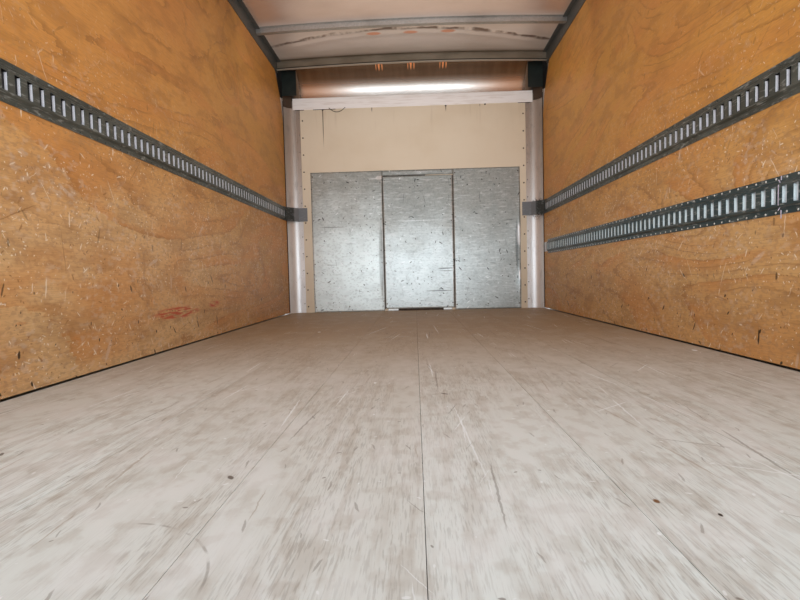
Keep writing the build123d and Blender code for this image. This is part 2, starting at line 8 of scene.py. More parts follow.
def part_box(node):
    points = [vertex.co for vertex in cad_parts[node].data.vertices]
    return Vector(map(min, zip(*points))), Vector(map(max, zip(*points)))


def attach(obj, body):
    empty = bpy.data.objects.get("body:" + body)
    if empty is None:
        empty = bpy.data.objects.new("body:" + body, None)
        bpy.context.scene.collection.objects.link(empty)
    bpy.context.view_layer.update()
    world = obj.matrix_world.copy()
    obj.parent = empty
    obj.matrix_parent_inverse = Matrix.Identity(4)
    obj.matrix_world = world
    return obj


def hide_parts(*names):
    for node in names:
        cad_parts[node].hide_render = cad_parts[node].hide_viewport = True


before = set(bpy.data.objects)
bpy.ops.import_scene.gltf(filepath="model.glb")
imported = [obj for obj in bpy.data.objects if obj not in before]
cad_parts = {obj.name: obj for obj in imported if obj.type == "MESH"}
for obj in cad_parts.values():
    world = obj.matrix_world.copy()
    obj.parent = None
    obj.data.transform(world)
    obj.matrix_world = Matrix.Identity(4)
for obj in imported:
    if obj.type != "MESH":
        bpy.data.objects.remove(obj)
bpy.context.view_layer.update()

# Long sills, cross beams and front sill: the steel under the floor, two channels that
# carry a row of welded I beams. All are black chassis enamel sprayed over mill scale: dull,
# with a fine orange peel and road dust that has dried on it.
sill_black = "#242528"
road_dust = "#6E665C"


def colour(code):
    """An sRGB hex colour as linear red, green, blue and alpha."""
    parts = [int(code[i:i + 2], 16) / 255 for i in (1, 3, 5)]
    return [v / 12.92 if v <= 0.04045 else ((v + 0.055) / 1.055) ** 2.4 for v in parts] + [1.0]


def node(tree, kind, settings, sockets, out=0):
    """Add one shader node with its settings, numbers and links, and give back an output."""
    made = tree.nodes.new("ShaderNode" + kind)
    for name, value in settings.items():
        setattr(made, name, value)
    for key, value in sockets.items():
        if isinstance(value, bpy.types.NodeSocket):
            tree.links.new(value, made.inputs[key])
        else:
            made.inputs[key].default_value = value
    return made.outputs[out] if len(made.outputs) else None


def start(name):
    """A new material, its tree, and each point's place on the piece in metres."""
    made = bpy.data.materials.new(name)
    made.use_nodes = True
    made.node_tree.nodes.clear()
    return made, made.node_tree, node(made.node_tree, "TexCoord", {}, {}, "Object")


def marks(tree, place, size, low, high, most=1.0, turn=(0, 0, 0), at=(0, 0, 0), detail=2.0):
    """Marks of a size per axis in millimetres: none below one level of a noise, all above the other."""
    laid = node(tree, "Mapping", {"vector_type": "TEXTURE"}, {
        "Vector": place, "Location": at, "Rotation": turn, "Scale": [s / 1000 for s in size],
    })
    field = node(tree, "TexNoise", {}, {"Vector": laid, "Scale": 1.0, "Detail": detail})
    levels = {"Value": field, "From Min": low, "From Max": high, "To Max": most}
    return node(tree, "MapRange", {"interpolation_type": "SMOOTHSTEP"}, levels)


def tint(tree, amount, under, over):
    """One colour laid over another by an amount."""
    return node(tree, "Mix", {"data_type": "RGBA"}, {0: amount, 6: under, 7: over}, 2)


def surface(tree, sockets, relief=None, depth_mm=1.0):
    """The shader and output that finish a material, with a relief."""
    if relief is not None:
        sockets["Normal"] = node(tree, "Bump", {}, {"Height": relief, "Distance": depth_mm / 1000})
    shader = node(tree, "BsdfPrincipled", {}, sockets)
    node(tree, "OutputMaterial", {}, {"Surface": shader})


def dress(material, *names):
    """Give CAD nodes a material."""
    for name in names:
        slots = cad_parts[name].data.materials
        slots.clear()
        slots.append(material)


chassis_enamel, tree, place = start("black chassis enamel")
dust = marks(tree, place, (330, 330, 330), 0.45, 0.75, 0.4, detail=5)
peel = marks(tree, place, (3, 3, 3), 0.3, 0.7)
tone = tint(tree, dust, colour(sill_black), colour(road_dust))
surface(tree, {"Base Color": tone, "Roughness": 0.55}, peel, 0.1)
dress(chassis_enamel, "long_sill_left", "long_sill_right", "cross_beams", "front_sill")

# Floor boards: laminated hardwood laid lengthwise and screwed to the beams. The finish is
# worn off by pallets and hand trucks: a bleached grey near the doorway, browner towards
# the front, with brown grain left in streaks, chalky drag marks and a few dark gouges.
board_pitch = 0.311
floor_low, floor_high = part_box("floor_boards")
floor_z = floor_high.z
floor_grey = "#E6EEEE"
floor_cool = "#EFFDFF"
floor_tan = "#9E8466"
floor_brown = "#94806B"
floor_dark = "#5A4A3C"
floor_chalk = "#EDF1F3"
floor_dust = "#A8957F"
floor_gouge = "#4A3B30"
chip_brown = "#7A5A3E"
crumb_dark = "#2F2620"
scratch_middle = (-0.42, -1.99, 0)
scratch_radius = 0.166


def coated(tree, tone, *coats):
    """A colour with others laid over it in turn, each by its own amount."""
    for amount, code in coats:
        tone = tint(tree, amount, tone, colour(code))
    return tone


def both(tree, first, second):
    """Marks where two patterns meet, or one pattern at a share of its strength."""
    return node(tree, "Math", {"operation": "MULTIPLY"}, {0: first, 1: second})


def ramp(tree, value, from_low, from_high, low=0.0, high=1.0):
    """A smooth change from one level to another as a value grows."""
    levels = {"Value": value, "From Min": from_low, "From Max": from_high, "To Min": low, "To Max": high}
    return node(tree, "MapRange", {"interpolation_type": "SMOOTHSTEP"}, levels)


def flecks(tree, flat, cell, length, width, share, lean, spread, at):
    """Crisp marks over a flat place, in a share of the cells of a size, all in millimetres."""
    laid = node(tree, "Mapping", {}, {"Vector": flat, "Location": (at, 0.7 * at, 0)})
    grid = {"Vector": laid, "Scale": 1000 / cell}
    cells = node(tree, "TexVoronoi", {"voronoi_dimensions": "2D"}, grid).node
    lots = node(tree, "SeparateColor", {}, {"Color": cells.outputs["Color"]}).node
    off = node(tree, "VectorMath", {"operation": "SUBTRACT"}, {0: laid, 1: cells.outputs["Position"]})
    turn = node(tree, "Math", {"operation": "MULTIPLY_ADD"}, {0: lots.outputs[0], 1: spread, 2: lean})
    turned = node(tree, "VectorRotate", {"rotation_type": "Z_AXIS"}, {"Vector": off, "Angle": turn})
    halves = (2000 / length, 2000 / width, 0)
    sized = node(tree, "VectorMath", {"operation": "MULTIPLY"}, {0: turned, 1: halves})
    far = node(tree, "VectorMath", {"operation": "LENGTH"}, {0: sized}, 1)
    reach = ramp(tree, lots.outputs[2], 0.0, 1.0, 0.35, 1.0)
    shape = node(tree, "Math", {"operation": "DIVIDE"}, {0: far, 1: reach})
    kept = node(tree, "Math", {"operation": "LESS_THAN"}, {0: lots.outputs[1], 1: share})
    return both(tree, kept, ramp(tree, shape, 0.6, 1.0, 1.0, 0.0))


def ragged(tree, flat, amount_mm):
    """A flat place shaken a little, so that marks on it have ragged edges."""
    shake = node(tree, "TexNoise", {}, {"Vector": flat, "Scale": 45.0, "Detail": 4.0}, 1)
    reach = (amount_mm / 1000, amount_mm / 1000, 0)
    return node(tree, "VectorMath", {"operation": "MULTIPLY_ADD"}, {0: shake, 1: reach, 2: flat})


def from_middle(tree, place):
    """How far a point is from the body's middle line, to either side."""
    across = node(tree, "SeparateXYZ", {}, {"Vector": place}, "X")
    return node(tree, "Math", {"operation": "ABSOLUTE"}, {0: across})


def spot_at(tree, place, middle, size):
    """One soft mark round a place, of a size per axis in metres."""
    reach = {"Vector": place, "Location": middle, "Scale": size}
    laid = node(tree, "Mapping", {"vector_type": "TEXTURE"}, reach)
    far = node(tree, "VectorMath", {"operation": "LENGTH"}, {0: laid}, 1)
    return ramp(tree, far, 0.55, 1.0, 1.0, 0.0)


worn_hardwood, tree, place = start("worn laminated hardwood")
axes = node(tree, "SeparateXYZ", {}, {"Vector": place}).node
from_side = node(tree, "Math", {"operation": "SUBTRACT"}, {0: axes.outputs["X"], 1: floor_low.x})
boards_in = node(tree, "Math", {"operation": "DIVIDE"}, {0: from_side, 1: board_pitch})
board = node(tree, "Math", {"operation": "FLOOR"}, {0: boards_in})
lot = node(tree, "TexWhiteNoise", {"noise_dimensions": "1D"}, {"W": board})
grain_shift = node(tree, "CombineXYZ", {}, {"X": board, "Y": lot, "Z": lot})
grained = node(tree, "VectorMath", {"operation": "ADD"}, {0: place, 1: grain_shift})
forward = ramp(tree, axes.outputs["Y"], floor_low.y - 0.45, floor_high.y - 1.5, 0.0, 1.0)
aside = ramp(tree, from_middle(tree, place), 0.1, 0.8, 0.1, 1.0)
rear_side = both(tree, aside, ramp(tree, axes.outputs["Y"], -2.1, 1.0, 1.0, 0.2))
worn_patch = marks(tree, grained, (120, 620, 150), 0.32, 0.6, 1.0, detail=7)
wide_streak = marks(tree, grained, (18, 210, 60), 0.44, 0.62, 0.28, detail=11)
fine_streak = marks(tree, grained, (2.6, 36, 40), 0.5, 0.62, 0.26, detail=8)
mottle = marks(tree, place, (36, 52, 30), 0.48, 0.64, 0.22, at=(5, 2, 0), detail=13)
tone = coated(
    tree, colour(floor_grey), (rear_side, floor_cool), (forward, floor_tan),
    (both(tree, lot, 0.16), floor_tan), (both(tree, worn_patch, wide_streak), floor_brown),
    (both(tree, worn_patch, fine_streak), floor_dark), (mottle, floor_brown),
)
chalk = marks(tree, place, (90, 150, 140), 0.46, 0.66, 0.42, at=(3, 1, 0), detail=12)
tone = tint(tree, chalk, tone, tint(tree, forward, colour(floor_chalk), colour(floor_dust)))
plain = node(tree, "CombineXYZ", {}, {"X": axes.outputs["X"], "Y": axes.outputs["Y"]})
flat = ragged(tree, plain, 8)
for cell, length, width, share, lean, spread, amount, code in (
    # cell, length, width, share, lean, spread, amount, colour
    (420, 400, 7, 0.5, 1.45, 0.3, 0.45, floor_dark), (260, 240, 6, 0.5, 1.4, 0.34, 0.45, floor_brown),
    (340, 330, 6, 0.6, 1.4, 0.34, 0.55, floor_chalk), (700, 620, 5, 0.6, 1.3, 0.5, 0.6, floor_chalk),
    (330, 210, 5, 0.5, 0.2, 2.8, 0.6, floor_chalk), (300, 170, 4, 0.4, 0.2, 2.8, 0.5, floor_dark),
    (80, 46, 5, 0.4, 1.2, 0.8, 0.4, floor_dark), (60, 14, 6, 0.25, 0.0, 3.1, 0.6, floor_chalk),
    (110, 11, 6, 0.3, 0.0, 3.1, 0.6, floor_dark), (520, 34, 13, 0.3, 0.3, 1.0, 0.8, floor_gouge),
):
    drag = both(tree, flecks(tree, flat, cell, length, width, share, lean, spread, cell / 97), amount)
    tone = tint(tree, drag, tone, colour(code))
from_bend = node(tree, "VectorMath", {"operation": "SUBTRACT"}, {0: plain, 1: scratch_middle})
far = node(tree, "VectorMath", {"operation": "LENGTH"}, {0: from_bend}, 1)
beside = node(tree, "Math", {"operation": "SUBTRACT"}, {0: far, 1: scratch_radius})
beside = node(tree, "Math", {"operation": "ABSOLUTE"}, {0: beside})
quarter = ramp(tree, axes.outputs["X"], -0.44, -0.4)
quarter = both(tree, quarter, ramp(tree, axes.outputs["Y"], -2.0, -1.96))
scratch = both(tree, ramp(tree, beside, 0.0008, 0.0028, 0.5, 0.0), quarter)
scratch = both(tree, scratch, marks(tree, place, (30, 30, 30), 0.4, 0.6, 0.8, detail=3))
tone = tint(tree, scratch, tone, colour(floor_dark))
for x, y, size, code in (
    # x, y, size, colour
    (1.176, -0.36, 0.012, floor_chalk), (0.351, -1.767, 0.0055, chip_brown),
    (0.418, -1.812, 0.0035, crumb_dark), (-0.62, 0.654, 0.012, floor_chalk),
    (0.31, -1.86, 0.0035, floor_chalk), (-0.14, -0.9, 0.006, floor_chalk),
):
    tone = tint(tree, spot_at(tree, flat, (x, y, 0), (size, 1.6 * size, 1)), tone, colour(code))
surface(tree, {"Base Color": tone, "Roughness": 0.58}, both(tree, worn_patch, fine_streak), -0.5)
dress(worn_hardwood, "floor_boards")

# Bottom and top rails: aluminium extrusions along the body's edges, left as they come
# from the press: dull light grey, with faint lines along them and water stains. Inside
# the load space the top rails carry a painted shade that makes them dark.
mill_alloy = "#BDBBB6"
alloy_stain = "#88857E"
rail_shade = "#2B302E"
wall_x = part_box("lining_left_lower")[1].x

extruded_alloy, tree, place = start("mill extruded aluminium")
height = node(tree, "SeparateXYZ", {}, {"Vector": place}, "Z")
press_lines = marks(tree, place, (3, 1200, 3), 0.35, 0.65)
stain = marks(tree, place, (300, 500, 200), 0.4, 0.7, 0.4, detail=6)
# Painted shade: the top rails' inner faces, high up in the load space, are made dark.
inward = ramp(tree, from_middle(tree, place), -wall_x + 0.01, -wall_x + 0.03, 0.85, 0.0)
within = both(tree, inward, ramp(tree, height, 2.0, 2.2))
tone = coated(tree, colour(mill_alloy), (stain, alloy_stain), (within, rail_shade))
metal = ramp(tree, within, 0.0, 0.85, 1.0, 0.3)
surface(tree, {"Base Color": tone, "Metallic": metal, "Roughness": 0.42}, press_lines, 0.1)
dress(extruded_alloy, "bottom_rail_left", "bottom_rail_right", "top_rail_left", "top_rail_right")

# Side and front posts, roof bows and the doorway's jamb: galvanised steel, pressed cold
# and riveted, with the zinc's fine spangle under a grey bloom.
zinc_grey = "#AEACA8"
zinc_light = "#BDBAB6"
zinc_bloom = "#88847E"


def spangle(tree, place, per_metre):
    """The zinc's grains: one grey level for each, with so many of them to a metre."""
    cells = node(tree, "TexVoronoi", {}, {"Vector": place, "Scale": per_metre}, "Color")
    return node(tree, "SeparateColor", {}, {"Color": cells}, 0)


galvanised, tree, place = start("galvanised pressed steel")
bloom = marks(tree, place, (300, 300, 300), 0.4, 0.7, 0.5, detail=5)
grain = spangle(tree, place, 90)
tone = coated(tree, colour(zinc_grey), (grain, zinc_light), (bloom, zinc_bloom))
surface(tree, {"Base Color": tone, "Metallic": 0.75, "Roughness": 0.42})
dress(galvanised, "side_posts_left", "side_posts_right", "front_posts", "roof_bows", "doorway_jamb")

# Front bow: a galvanised channel bent to the roof's crown, under brown dust. A dark line of
# painted shadow runs along its rear face, and its lower lip carries a pale painted highlight.
bow_dust = "#8F8474"
bow_soil = "#6B604F"
bow_lip_highlight = "#CFC8BA"
bow_groove_shadow = "#211D18"
bow_rise = 0.03
bow_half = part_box("front_bow")[1].x
bow_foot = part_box("front_bow")[0].z

dusty_zinc, tree, place = start("galvanised steel under brown dust")
axes = node(tree, "SeparateXYZ", {}, {"Vector": place}).node
dust = marks(tree, place, (200, 60, 60), 0.3, 0.7, 0.6, detail=5)
fallen = node(tree, "Math", {"operation": "POWER"}, {0: axes.outputs["X"], 1: 2.0})
above = node(tree, "Math", {"operation": "MULTIPLY_ADD"}, {
    0: fallen, 1: bow_rise / bow_half ** 2, 2: axes.outputs["Z"],
})
above = node(tree, "Math", {"operation": "SUBTRACT"}, {0: above, 1: bow_foot + bow_rise})
# Painted shadow in a dark band along the rear face, and a painted highlight on the lower lip.
groove_shadow = both(tree, ramp(tree, above, 0.012, 0.015), ramp(tree, above, 0.02, 0.025, 0.9, 0.0))
lip = ramp(tree, above, 0.011, 0.013, 0.9, 0.0)
tone = coated(tree, colour(bow_dust), (dust, bow_soil), (lip, bow_lip_highlight), (groove_shadow, bow_groove_shadow))
surface(tree, {"Base Color": tone, "Metallic": 0.5, "Roughness": 0.45})
dress(dusty_zinc, "front_bow")

# Side and front skins: pre-painted aluminium sheet in gloss white, riveted to each post
# and to the rails. The sheet pans a little between the posts, and road film lies low on it.
skin_white = "#E2E3E3"
road_film = "#B5AFA4"
rivet_pitch = 0.0762
post_pitch = 0.61
post_edge = 0.0125

gloss_sheet, tree, place = start("pre-painted white aluminium sheet")
height = node(tree, "SeparateXYZ", {}, {"Vector": place}, "Z")
low_down = ramp(tree, height, 0.2, 1.4, 1.0, 0.25)
film = marks(tree, place, (500, 500, 260), 0.42, 0.78, 0.5, detail=7)
run = marks(tree, place, (14, 14, 500), 0.5, 0.75, 0.35, detail=4)
panning = marks(tree, place, (700, 600, 900), 0.2, 0.8, detail=1)
coats = ((both(tree, dirt, low_down), road_film) for dirt in (film, run))
tone = coated(tree, colour(skin_white), *coats)
surface(tree, {
    "Base Color": tone, "Roughness": 0.3, "Coat Weight": 0.35, "Coat Roughness": 0.1,
}, panning, 2.5)
dress(gloss_sheet, "side_skin_left", "side_skin_right", "front_skin")


def two_tone(name, clean, marked, size, low, high, most, finish, detail=2.0, relief_mm=0.0):
    """A finish of one colour with marks in another, which stand up where it has a relief."""
    material, tree, place = start(name)
    pattern = marks(tree, place, size, low, high, most, detail=detail)
    tone = tint(tree, pattern, colour(clean), colour(marked))
    surface(tree, {"Base Color": tone, **finish}, pattern if relief_mm else None, relief_mm)
    return material


rivet_alloy = two_tone(
    "aluminium rivet head", "#B4B2AD", "#77736B", (16, 16, 16), 0.3, 0.7, 0.6,
    {"Metallic": 0.9, "Roughness": 0.4},
)


def piece(name, mesh, material, body="body", smooth=True):
    """Turn a bmesh into a finished piece that rides on a body."""
    data = bpy.data.meshes.new(name)
    mesh.to_mesh(data)
    mesh.free()
    data.materials.append(material)
    if smooth:
        data.shade_smooth()
    made = bpy.data.objects.new(name, data)
    bpy.context.scene.collection.objects.link(made)
    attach(made, body)
    return made


def rivets(name, spots, out, material, body="body", radius=0.0045, height=0.002, sides=8):
    """Low round heads in one mesh at a list of places, facing out along a direction."""
    mesh = bmesh.new()
    facing = Vector(out).to_track_quat("Z", "Y").to_matrix().to_4x4()
    lift = Matrix.Translation((0, 0, height / 2))
    for spot in spots:
        bmesh.ops.create_cone(
            mesh, cap_ends=True, segments=sides, radius1=radius, radius2=radius * 0.55, depth=height,
            matrix=Matrix.Translation(Vector(spot)) @ facing @ lift,
        )
    return piece(name, mesh, material, body)


def run_of(first, last, pitch):
    """Even places from the first to at most the last."""
    return [first + i * pitch for i in range(int((last - first) / pitch + 1e-6) + 1)]


skin_low, skin_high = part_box("side_skin_right")
first_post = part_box("side_posts_right")[1].y - 0.055
post_places = [first_post - i * post_pitch for i in range(8)]
for name, side in (("left", -1), ("right", 1)):
    spots = []
    for y in post_places:
        for z in run_of(skin_low.z + 0.06, skin_high.z - 0.06, rivet_pitch):
            spots += [(side * skin_high.x, y - post_edge, z), (side * skin_high.x, y + post_edge, z)]
    for y in run_of(skin_low.y + 0.03, skin_high.y - 0.03, rivet_pitch / 1.5):
        spots += [(side * skin_high.x, y, skin_low.z - 0.02), (side * skin_high.x, y, skin_high.z + 0.02)]
    rivets("skin_rivets_" + name, spots, (side, 0, 0), rivet_alloy, sides=6)

# Side lining: clear-finished rotary-cut plywood screwed to the posts. The lathe's cut
# shows as swirls that run lengthwise round the knots; below the upper track the load has
# chipped it pale, bruised it and nicked it dark, and above it stays amber and clean.
ply_gold = "#DBB583"
ply_amber = "#D79C52"
ply_deep = "#B98234"
ply_orange = "#CF8B48"
ply_line = "#8F5F30"
ply_bare = "#F6E9D2"
ply_rubbed = "#DCCFC4"
ply_bruise = "#A5805F"
ply_nick = "#2E1D0D"
ply_red = "#C04A30"
ply_ochre = "#C68E2C"
wall_shift = 3.1
track_low, track_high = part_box("track_left")
track_middle = (track_low.z + track_high.z) / 2

plywood, tree, place = start("rotary-cut plywood")
axes = node(tree, "SeparateXYZ", {}, {"Vector": place}).node
height = axes.outputs["Z"]
swirl_place = node(tree, "Mapping", {}, {"Vector": place, "Scale": (1.0, 0.36, 1.3)})
swirl = node(tree, "TexNoise", {}, {"Vector": swirl_place, "Scale": 1.0, "Detail": 1.0, "Distortion": 0.7})
knot_place = node(tree, "Mapping", {}, {"Vector": place, "Scale": (1.0, 0.8, 1.3)})
knot = node(tree, "TexVoronoi", {}, {"Vector": knot_place, "Scale": 1.1})
cut = node(tree, "Math", {"operation": "ADD"}, {0: swirl, 1: ramp(tree, knot, 0.0, 0.32, 0.26, 0.0)})
ripple = marks(tree, place, (26, 60, 20), 0.2, 0.8, 0.009, detail=8)
cut = node(tree, "Math", {"operation": "ADD"}, {0: cut, 1: ripple})
broad = node(tree, "Math", {"operation": "FRACT"}, {0: both(tree, cut, 8.0)})
layer = node(tree, "Math", {"operation": "FRACT"}, {0: both(tree, cut, 24.0)})
patchy = marks(tree, place, (300, 500, 160), 0.34, 0.6)
broken = marks(tree, place, (220, 300, 140), 0.4, 0.6, 0.5, detail=5)
line = both(tree, ramp(tree, layer, 0.0, 0.26, 1.0, 0.0), broken)
fade = both(tree, ramp(tree, broad, 0.0, 0.9, 0.6, 0.0), patchy)
fibre = marks(tree, place, (3, 60, 3), 0.42, 0.7, 0.24, detail=5)
warm = marks(tree, place, (900, 1000, 460), 0.4, 0.62, 0.4, detail=5)
cloud = marks(tree, place, (120, 190, 80), 0.46, 0.62, 0.3, detail=9)
fine = marks(tree, place, (12, 22, 12), 0.48, 0.62, 0.4, detail=8)
upper = ramp(tree, height, track_middle - 0.5, track_middle + 0.15)
wear = ramp(tree, height, track_middle - 0.1, track_middle + 0.4, 1.0, 0.18)
right_side = node(tree, "Math", {"operation": "GREATER_THAN"}, {0: axes.outputs["X"], 1: 0.0})
ahead = both(tree, ramp(tree, axes.outputs["Y"], 0.0, 2.2), ramp(tree, right_side, 0.0, 1.0, 1.0, 0.5))
worn = both(tree, marks(tree, place, (260, 340, 200), 0.42, 0.6), wear)
bruise = both(tree, worn, marks(tree, place, (18, 40, 24), 0.52, 0.62, 0.22, detail=9))
tone = coated(
    tree, colour(ply_gold), (upper, ply_amber), (ahead, ply_deep),
    (both(tree, right_side, 0.3), ply_ochre), (warm, ply_orange), (cloud, ply_line),
    (both(tree, fine, wear), ply_bruise), (fade, ply_orange), (line, ply_line),
    (fibre, ply_line), (bruise, ply_rubbed),
)
apart = node(tree, "Math", {"operation": "MULTIPLY_ADD"}, {
    0: axes.outputs["X"], 1: wall_shift, 2: axes.outputs["Y"],
})
flat = ragged(tree, node(tree, "CombineXYZ", {}, {"X": apart, "Y": height}), 9)
foot = ramp(tree, height, 0.3, 1.0, 1.0, 0.25)
for cell, length, width, share, lean, spread, amount, code in (
    # cell, length, width, share, lean, spread, amount, colour
    (300, 130, 24, 0.5, 0.4, 2.6, 0.3, ply_rubbed), (140, 84, 8, 0.4, 0.6, 1.9, 0.6, ply_bare),
    (80, 40, 6, 0.5, 0.3, 2.6, 0.75, ply_bare), (52, 19, 6, 0.5, 0.0, 3.1, 0.75, ply_bare),
    (34, 11, 6, 0.4, 0.0, 3.1, 0.7, ply_bare), (180, 130, 4, 0.6, 0.5, 2.2, 0.65, ply_bare),
    (210, 110, 60, 0.5, 0.0, 3.1, 0.2, ply_bruise), (24, 12, 6, 0.45, 0.0, 3.1, 0.7, ply_bare),
    (22, 12, 6, 0.4, 0.0, 3.1, 0.7, ply_line),
    (360, 240, 6, 0.6, 0.2, 2.8, 0.6, ply_line), (85, 34, 9, 0.45, 0.0, 3.1, 0.65, ply_line),
    (50, 18, 8, 0.4, 0.0, 3.1, 0.6, ply_bruise), (120, 60, 14, 0.4, 0.0, 3.1, 0.4, ply_orange),
):
    chip = both(tree, flecks(tree, flat, cell, length, width, share, lean, spread, cell / 97), amount)
    cluster = marks(tree, place, (190, 240, 170), 0.42, 0.54, at=(0, cell / 31, cell / 53))
    tone = tint(tree, both(tree, both(tree, chip, cluster), wear), tone, colour(code))
for cell, length, width, share in (
    # cell, length, width, share
    (170, 40, 15, 0.4), (240, 80, 13, 0.35), (110, 20, 12, 0.3), (60, 12, 8, 0.2),
):
    nick = both(tree, flecks(tree, flat, cell, length, width, share, 0.7, 1.8, cell / 71), foot)
    tone = tint(tree, both(tree, nick, 0.95), tone, colour(ply_nick))
red_rub = marks(tree, place, (40, 90, 9), 0.42, 0.6, 0.9, detail=5)
for y, z, length, tall in ((0.06, 0.415, 0.3, 0.04), (0.53, 0.435, 0.1, 0.025)):
    red = both(tree, red_rub, spot_at(tree, place, (wall_x, y, z), (0.1, length, tall)))
    tone = tint(tree, red, tone, colour(ply_red))
pocked = both(tree, worn, marks(tree, place, (22, 30, 20), 0.4, 0.8, detail=5))
surface(tree, {"Base Color": tone, "Roughness": 0.48}, pocked, 0.7)
dress(plywood, "lining_left_lower", "lining_left_upper", "lining_right_lower", "lining_right_middle",
      "lining_right_upper")

# Track fillers: strips of board that pack out the gap between two sheets of the lining.
# Those behind the upper tracks are painted black as shade, and the lower right one is white.
filler_white = "#DFE4EA"
filler_shade_black = "#0C0B0C"
filler_soil = "#9A979C"

filler, tree, place = start("painted filler board")
grime = marks(tree, place, (90, 60, 60), 0.45, 0.75, 0.35, detail=4)
height = node(tree, "SeparateXYZ", {}, {"Vector": place}, "Z")
# Painted shade: the strips behind the upper tracks are coloured black.
upper = node(tree, "Math", {"operation": "GREATER_THAN"}, {0: height, 1: track_low.z - 0.1})
tone = tint(tree, grime, colour(filler_white), colour(filler_soil))
surface(tree, {"Base Color": tint(tree, upper, tone, colour(filler_shade_black)), "Roughness": 0.5})
dress(filler, "track_fillers")

# Logistic tracks and corner straps: pressed steel in dark grey-green paint, rubbed bright
# where strap fittings catch. The slots' upright edges are rolled in to pale zinc lips, and
# each flange is riveted once at every slot. The straps are darker where they turn the corner.
track_green = "#474C47"
track_teal = "#33464A"
track_dust = "#6F746E"
track_bare = "#A4A8A4"
strap_side = "#3A4040"
strap_front = "#787C80"
strap_bare = "#93979A"
slot_pitch = 0.0508
slot_half = 0.012
lip_half = 0.0275
lip_thick = 0.0012
flange_row = 0.0575
flange_thick = 0.0027
track_deep = 0.0127


def track_paint(name, code):
    """Worn dark paint on steel."""
    material, tree, place = start(name)
    rubbed = marks(tree, place, (14, 40, 14), 0.56, 0.72, 0.7, detail=6)
    dusty = marks(tree, place, (120, 260, 90), 0.4, 0.7, 0.45, detail=5)
    scrape = marks(tree, place, (6, 120, 2.5), 0.62, 0.7, 0.6, detail=2)
    coats = (dusty, track_dust), (rubbed, track_bare), (scrape, track_bare)
    tone = coated(tree, colour(code), *coats)
    surface(tree, {"Base Color": tone, "Metallic": 0.25, "Roughness": 0.36}, rubbed, -0.15)
    return material


green_paint = track_paint("dark green track paint", track_green)
teal_paint = track_paint("dark teal track paint", track_teal)
dress(green_paint, "track_left", "track_right_upper")
dress(teal_paint, "track_right_lower")

strap_paint, tree, place = start("dark grey strap paint")
rubbed = marks(tree, place, (30, 30, 16), 0.5, 0.7, 0.4, detail=6)
at_side = ramp(tree, from_middle(tree, place), 1.17, 1.185)
tone = coated(tree, colour(strap_front), (at_side, strap_side), (rubbed, strap_bare))
surface(tree, {"Base Color": tone, "Metallic": 0.2, "Roughness": 0.4})
dress(strap_paint, "corner_straps")

rolled_lip = two_tone(
    "slot lip rubbed to the zinc", "#F2F1F6", "#B9B7BE", (5, 5, 12), 0.45, 0.7, 0.4,
    {"Roughness": 0.4}, 3,
)
pale_lip = two_tone(
    "slot lip in pale blue zinc", "#EAF8FB", "#AEC4CA", (5, 5, 12), 0.5, 0.7, 0.3,
    {"Roughness": 0.35}, 3,
)
pale_rivet = two_tone(
    "bright rivet head", "#DAD9D2", "#8F8B82", (16, 16, 16), 0.4, 0.7, 0.4, {"Roughness": 0.4},
)


def bar(mesh, middle, size, turn=Matrix.Identity(4)):
    """Add one straight bar to a mesh, round its middle."""
    place = Matrix.Translation(middle) @ turn @ Matrix.Diagonal((*size, 1))
    bmesh.ops.create_cube(mesh, size=1, matrix=place)


for name, side, heads, lip in (
    ("track_left", -1, green_paint, rolled_lip), ("track_right_upper", 1, green_paint, rolled_lip),
    ("track_right_lower", 1, pale_rivet, pale_lip),
):
    low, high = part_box(name)
    middle = (low.z + high.z) / 2
    wall_face = high.x if side > 0 else low.x
    rows = [high.y - slot_pitch / 2 - i * slot_pitch for i in range(int((high.y - low.y) / slot_pitch))]
    spots = []
    lips = bmesh.new()
    lip_deep = track_deep - flange_thick - 0.0005
    for y in rows:
        rivet_x = wall_face - side * flange_thick
        spots += [(rivet_x, y, middle - flange_row), (rivet_x, y, middle + flange_row)]
        lip_x = wall_face - side * (lip_deep / 2 + 0.0004)
        for edge in (-1, 1):
            lip_y = y + edge * (slot_half + lip_thick / 2)
            bar(lips, (lip_x, lip_y, middle), (lip_deep, lip_thick, 2 * lip_half))
    rivets(name + "_rivets", spots, (-side, 0, 0), heads)
    piece(name + "_slot_lips", lips, lip, smooth=False)

# Track joint: a thin bead of pale sealant over the seam between the lower track's lengths,
# with a small curl of it hanging at the foot.
joint_y = -0.7618
bead_thick = 0.0012
bead_wide = 0.0035
sealant = two_tone(
    "pale sealant bead", "#D8D0E2", "#9E97A6", (6, 6, 20), 0.4, 0.7, 0.5, {"Roughness": 0.5},
)
seam_low, seam_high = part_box("track_right_lower")
mesh = bmesh.new()
for x, z, tall, lean in (
    # x from the wall face, height from the middle, length, lean
    (track_deep, 0.0, 0.07, 0.0), (0.0033, 0.0575, 0.014, 0.0), (0.0033, -0.0575, 0.014, 0.0),
    (0.008, 0.043, 0.02, -0.5), (0.008, -0.043, 0.02, 0.5), (0.003, -0.071, 0.016, 0.0),
):
    middle = (seam_high.x - x, joint_y, (seam_low.z + seam_high.z) / 2 + z)
    bar(mesh, middle, (bead_thick, bead_wide, tall), Matrix.Rotation(lean, 4, "Y"))
piece("track_joint_sealant", mesh, sealant, smooth=False)

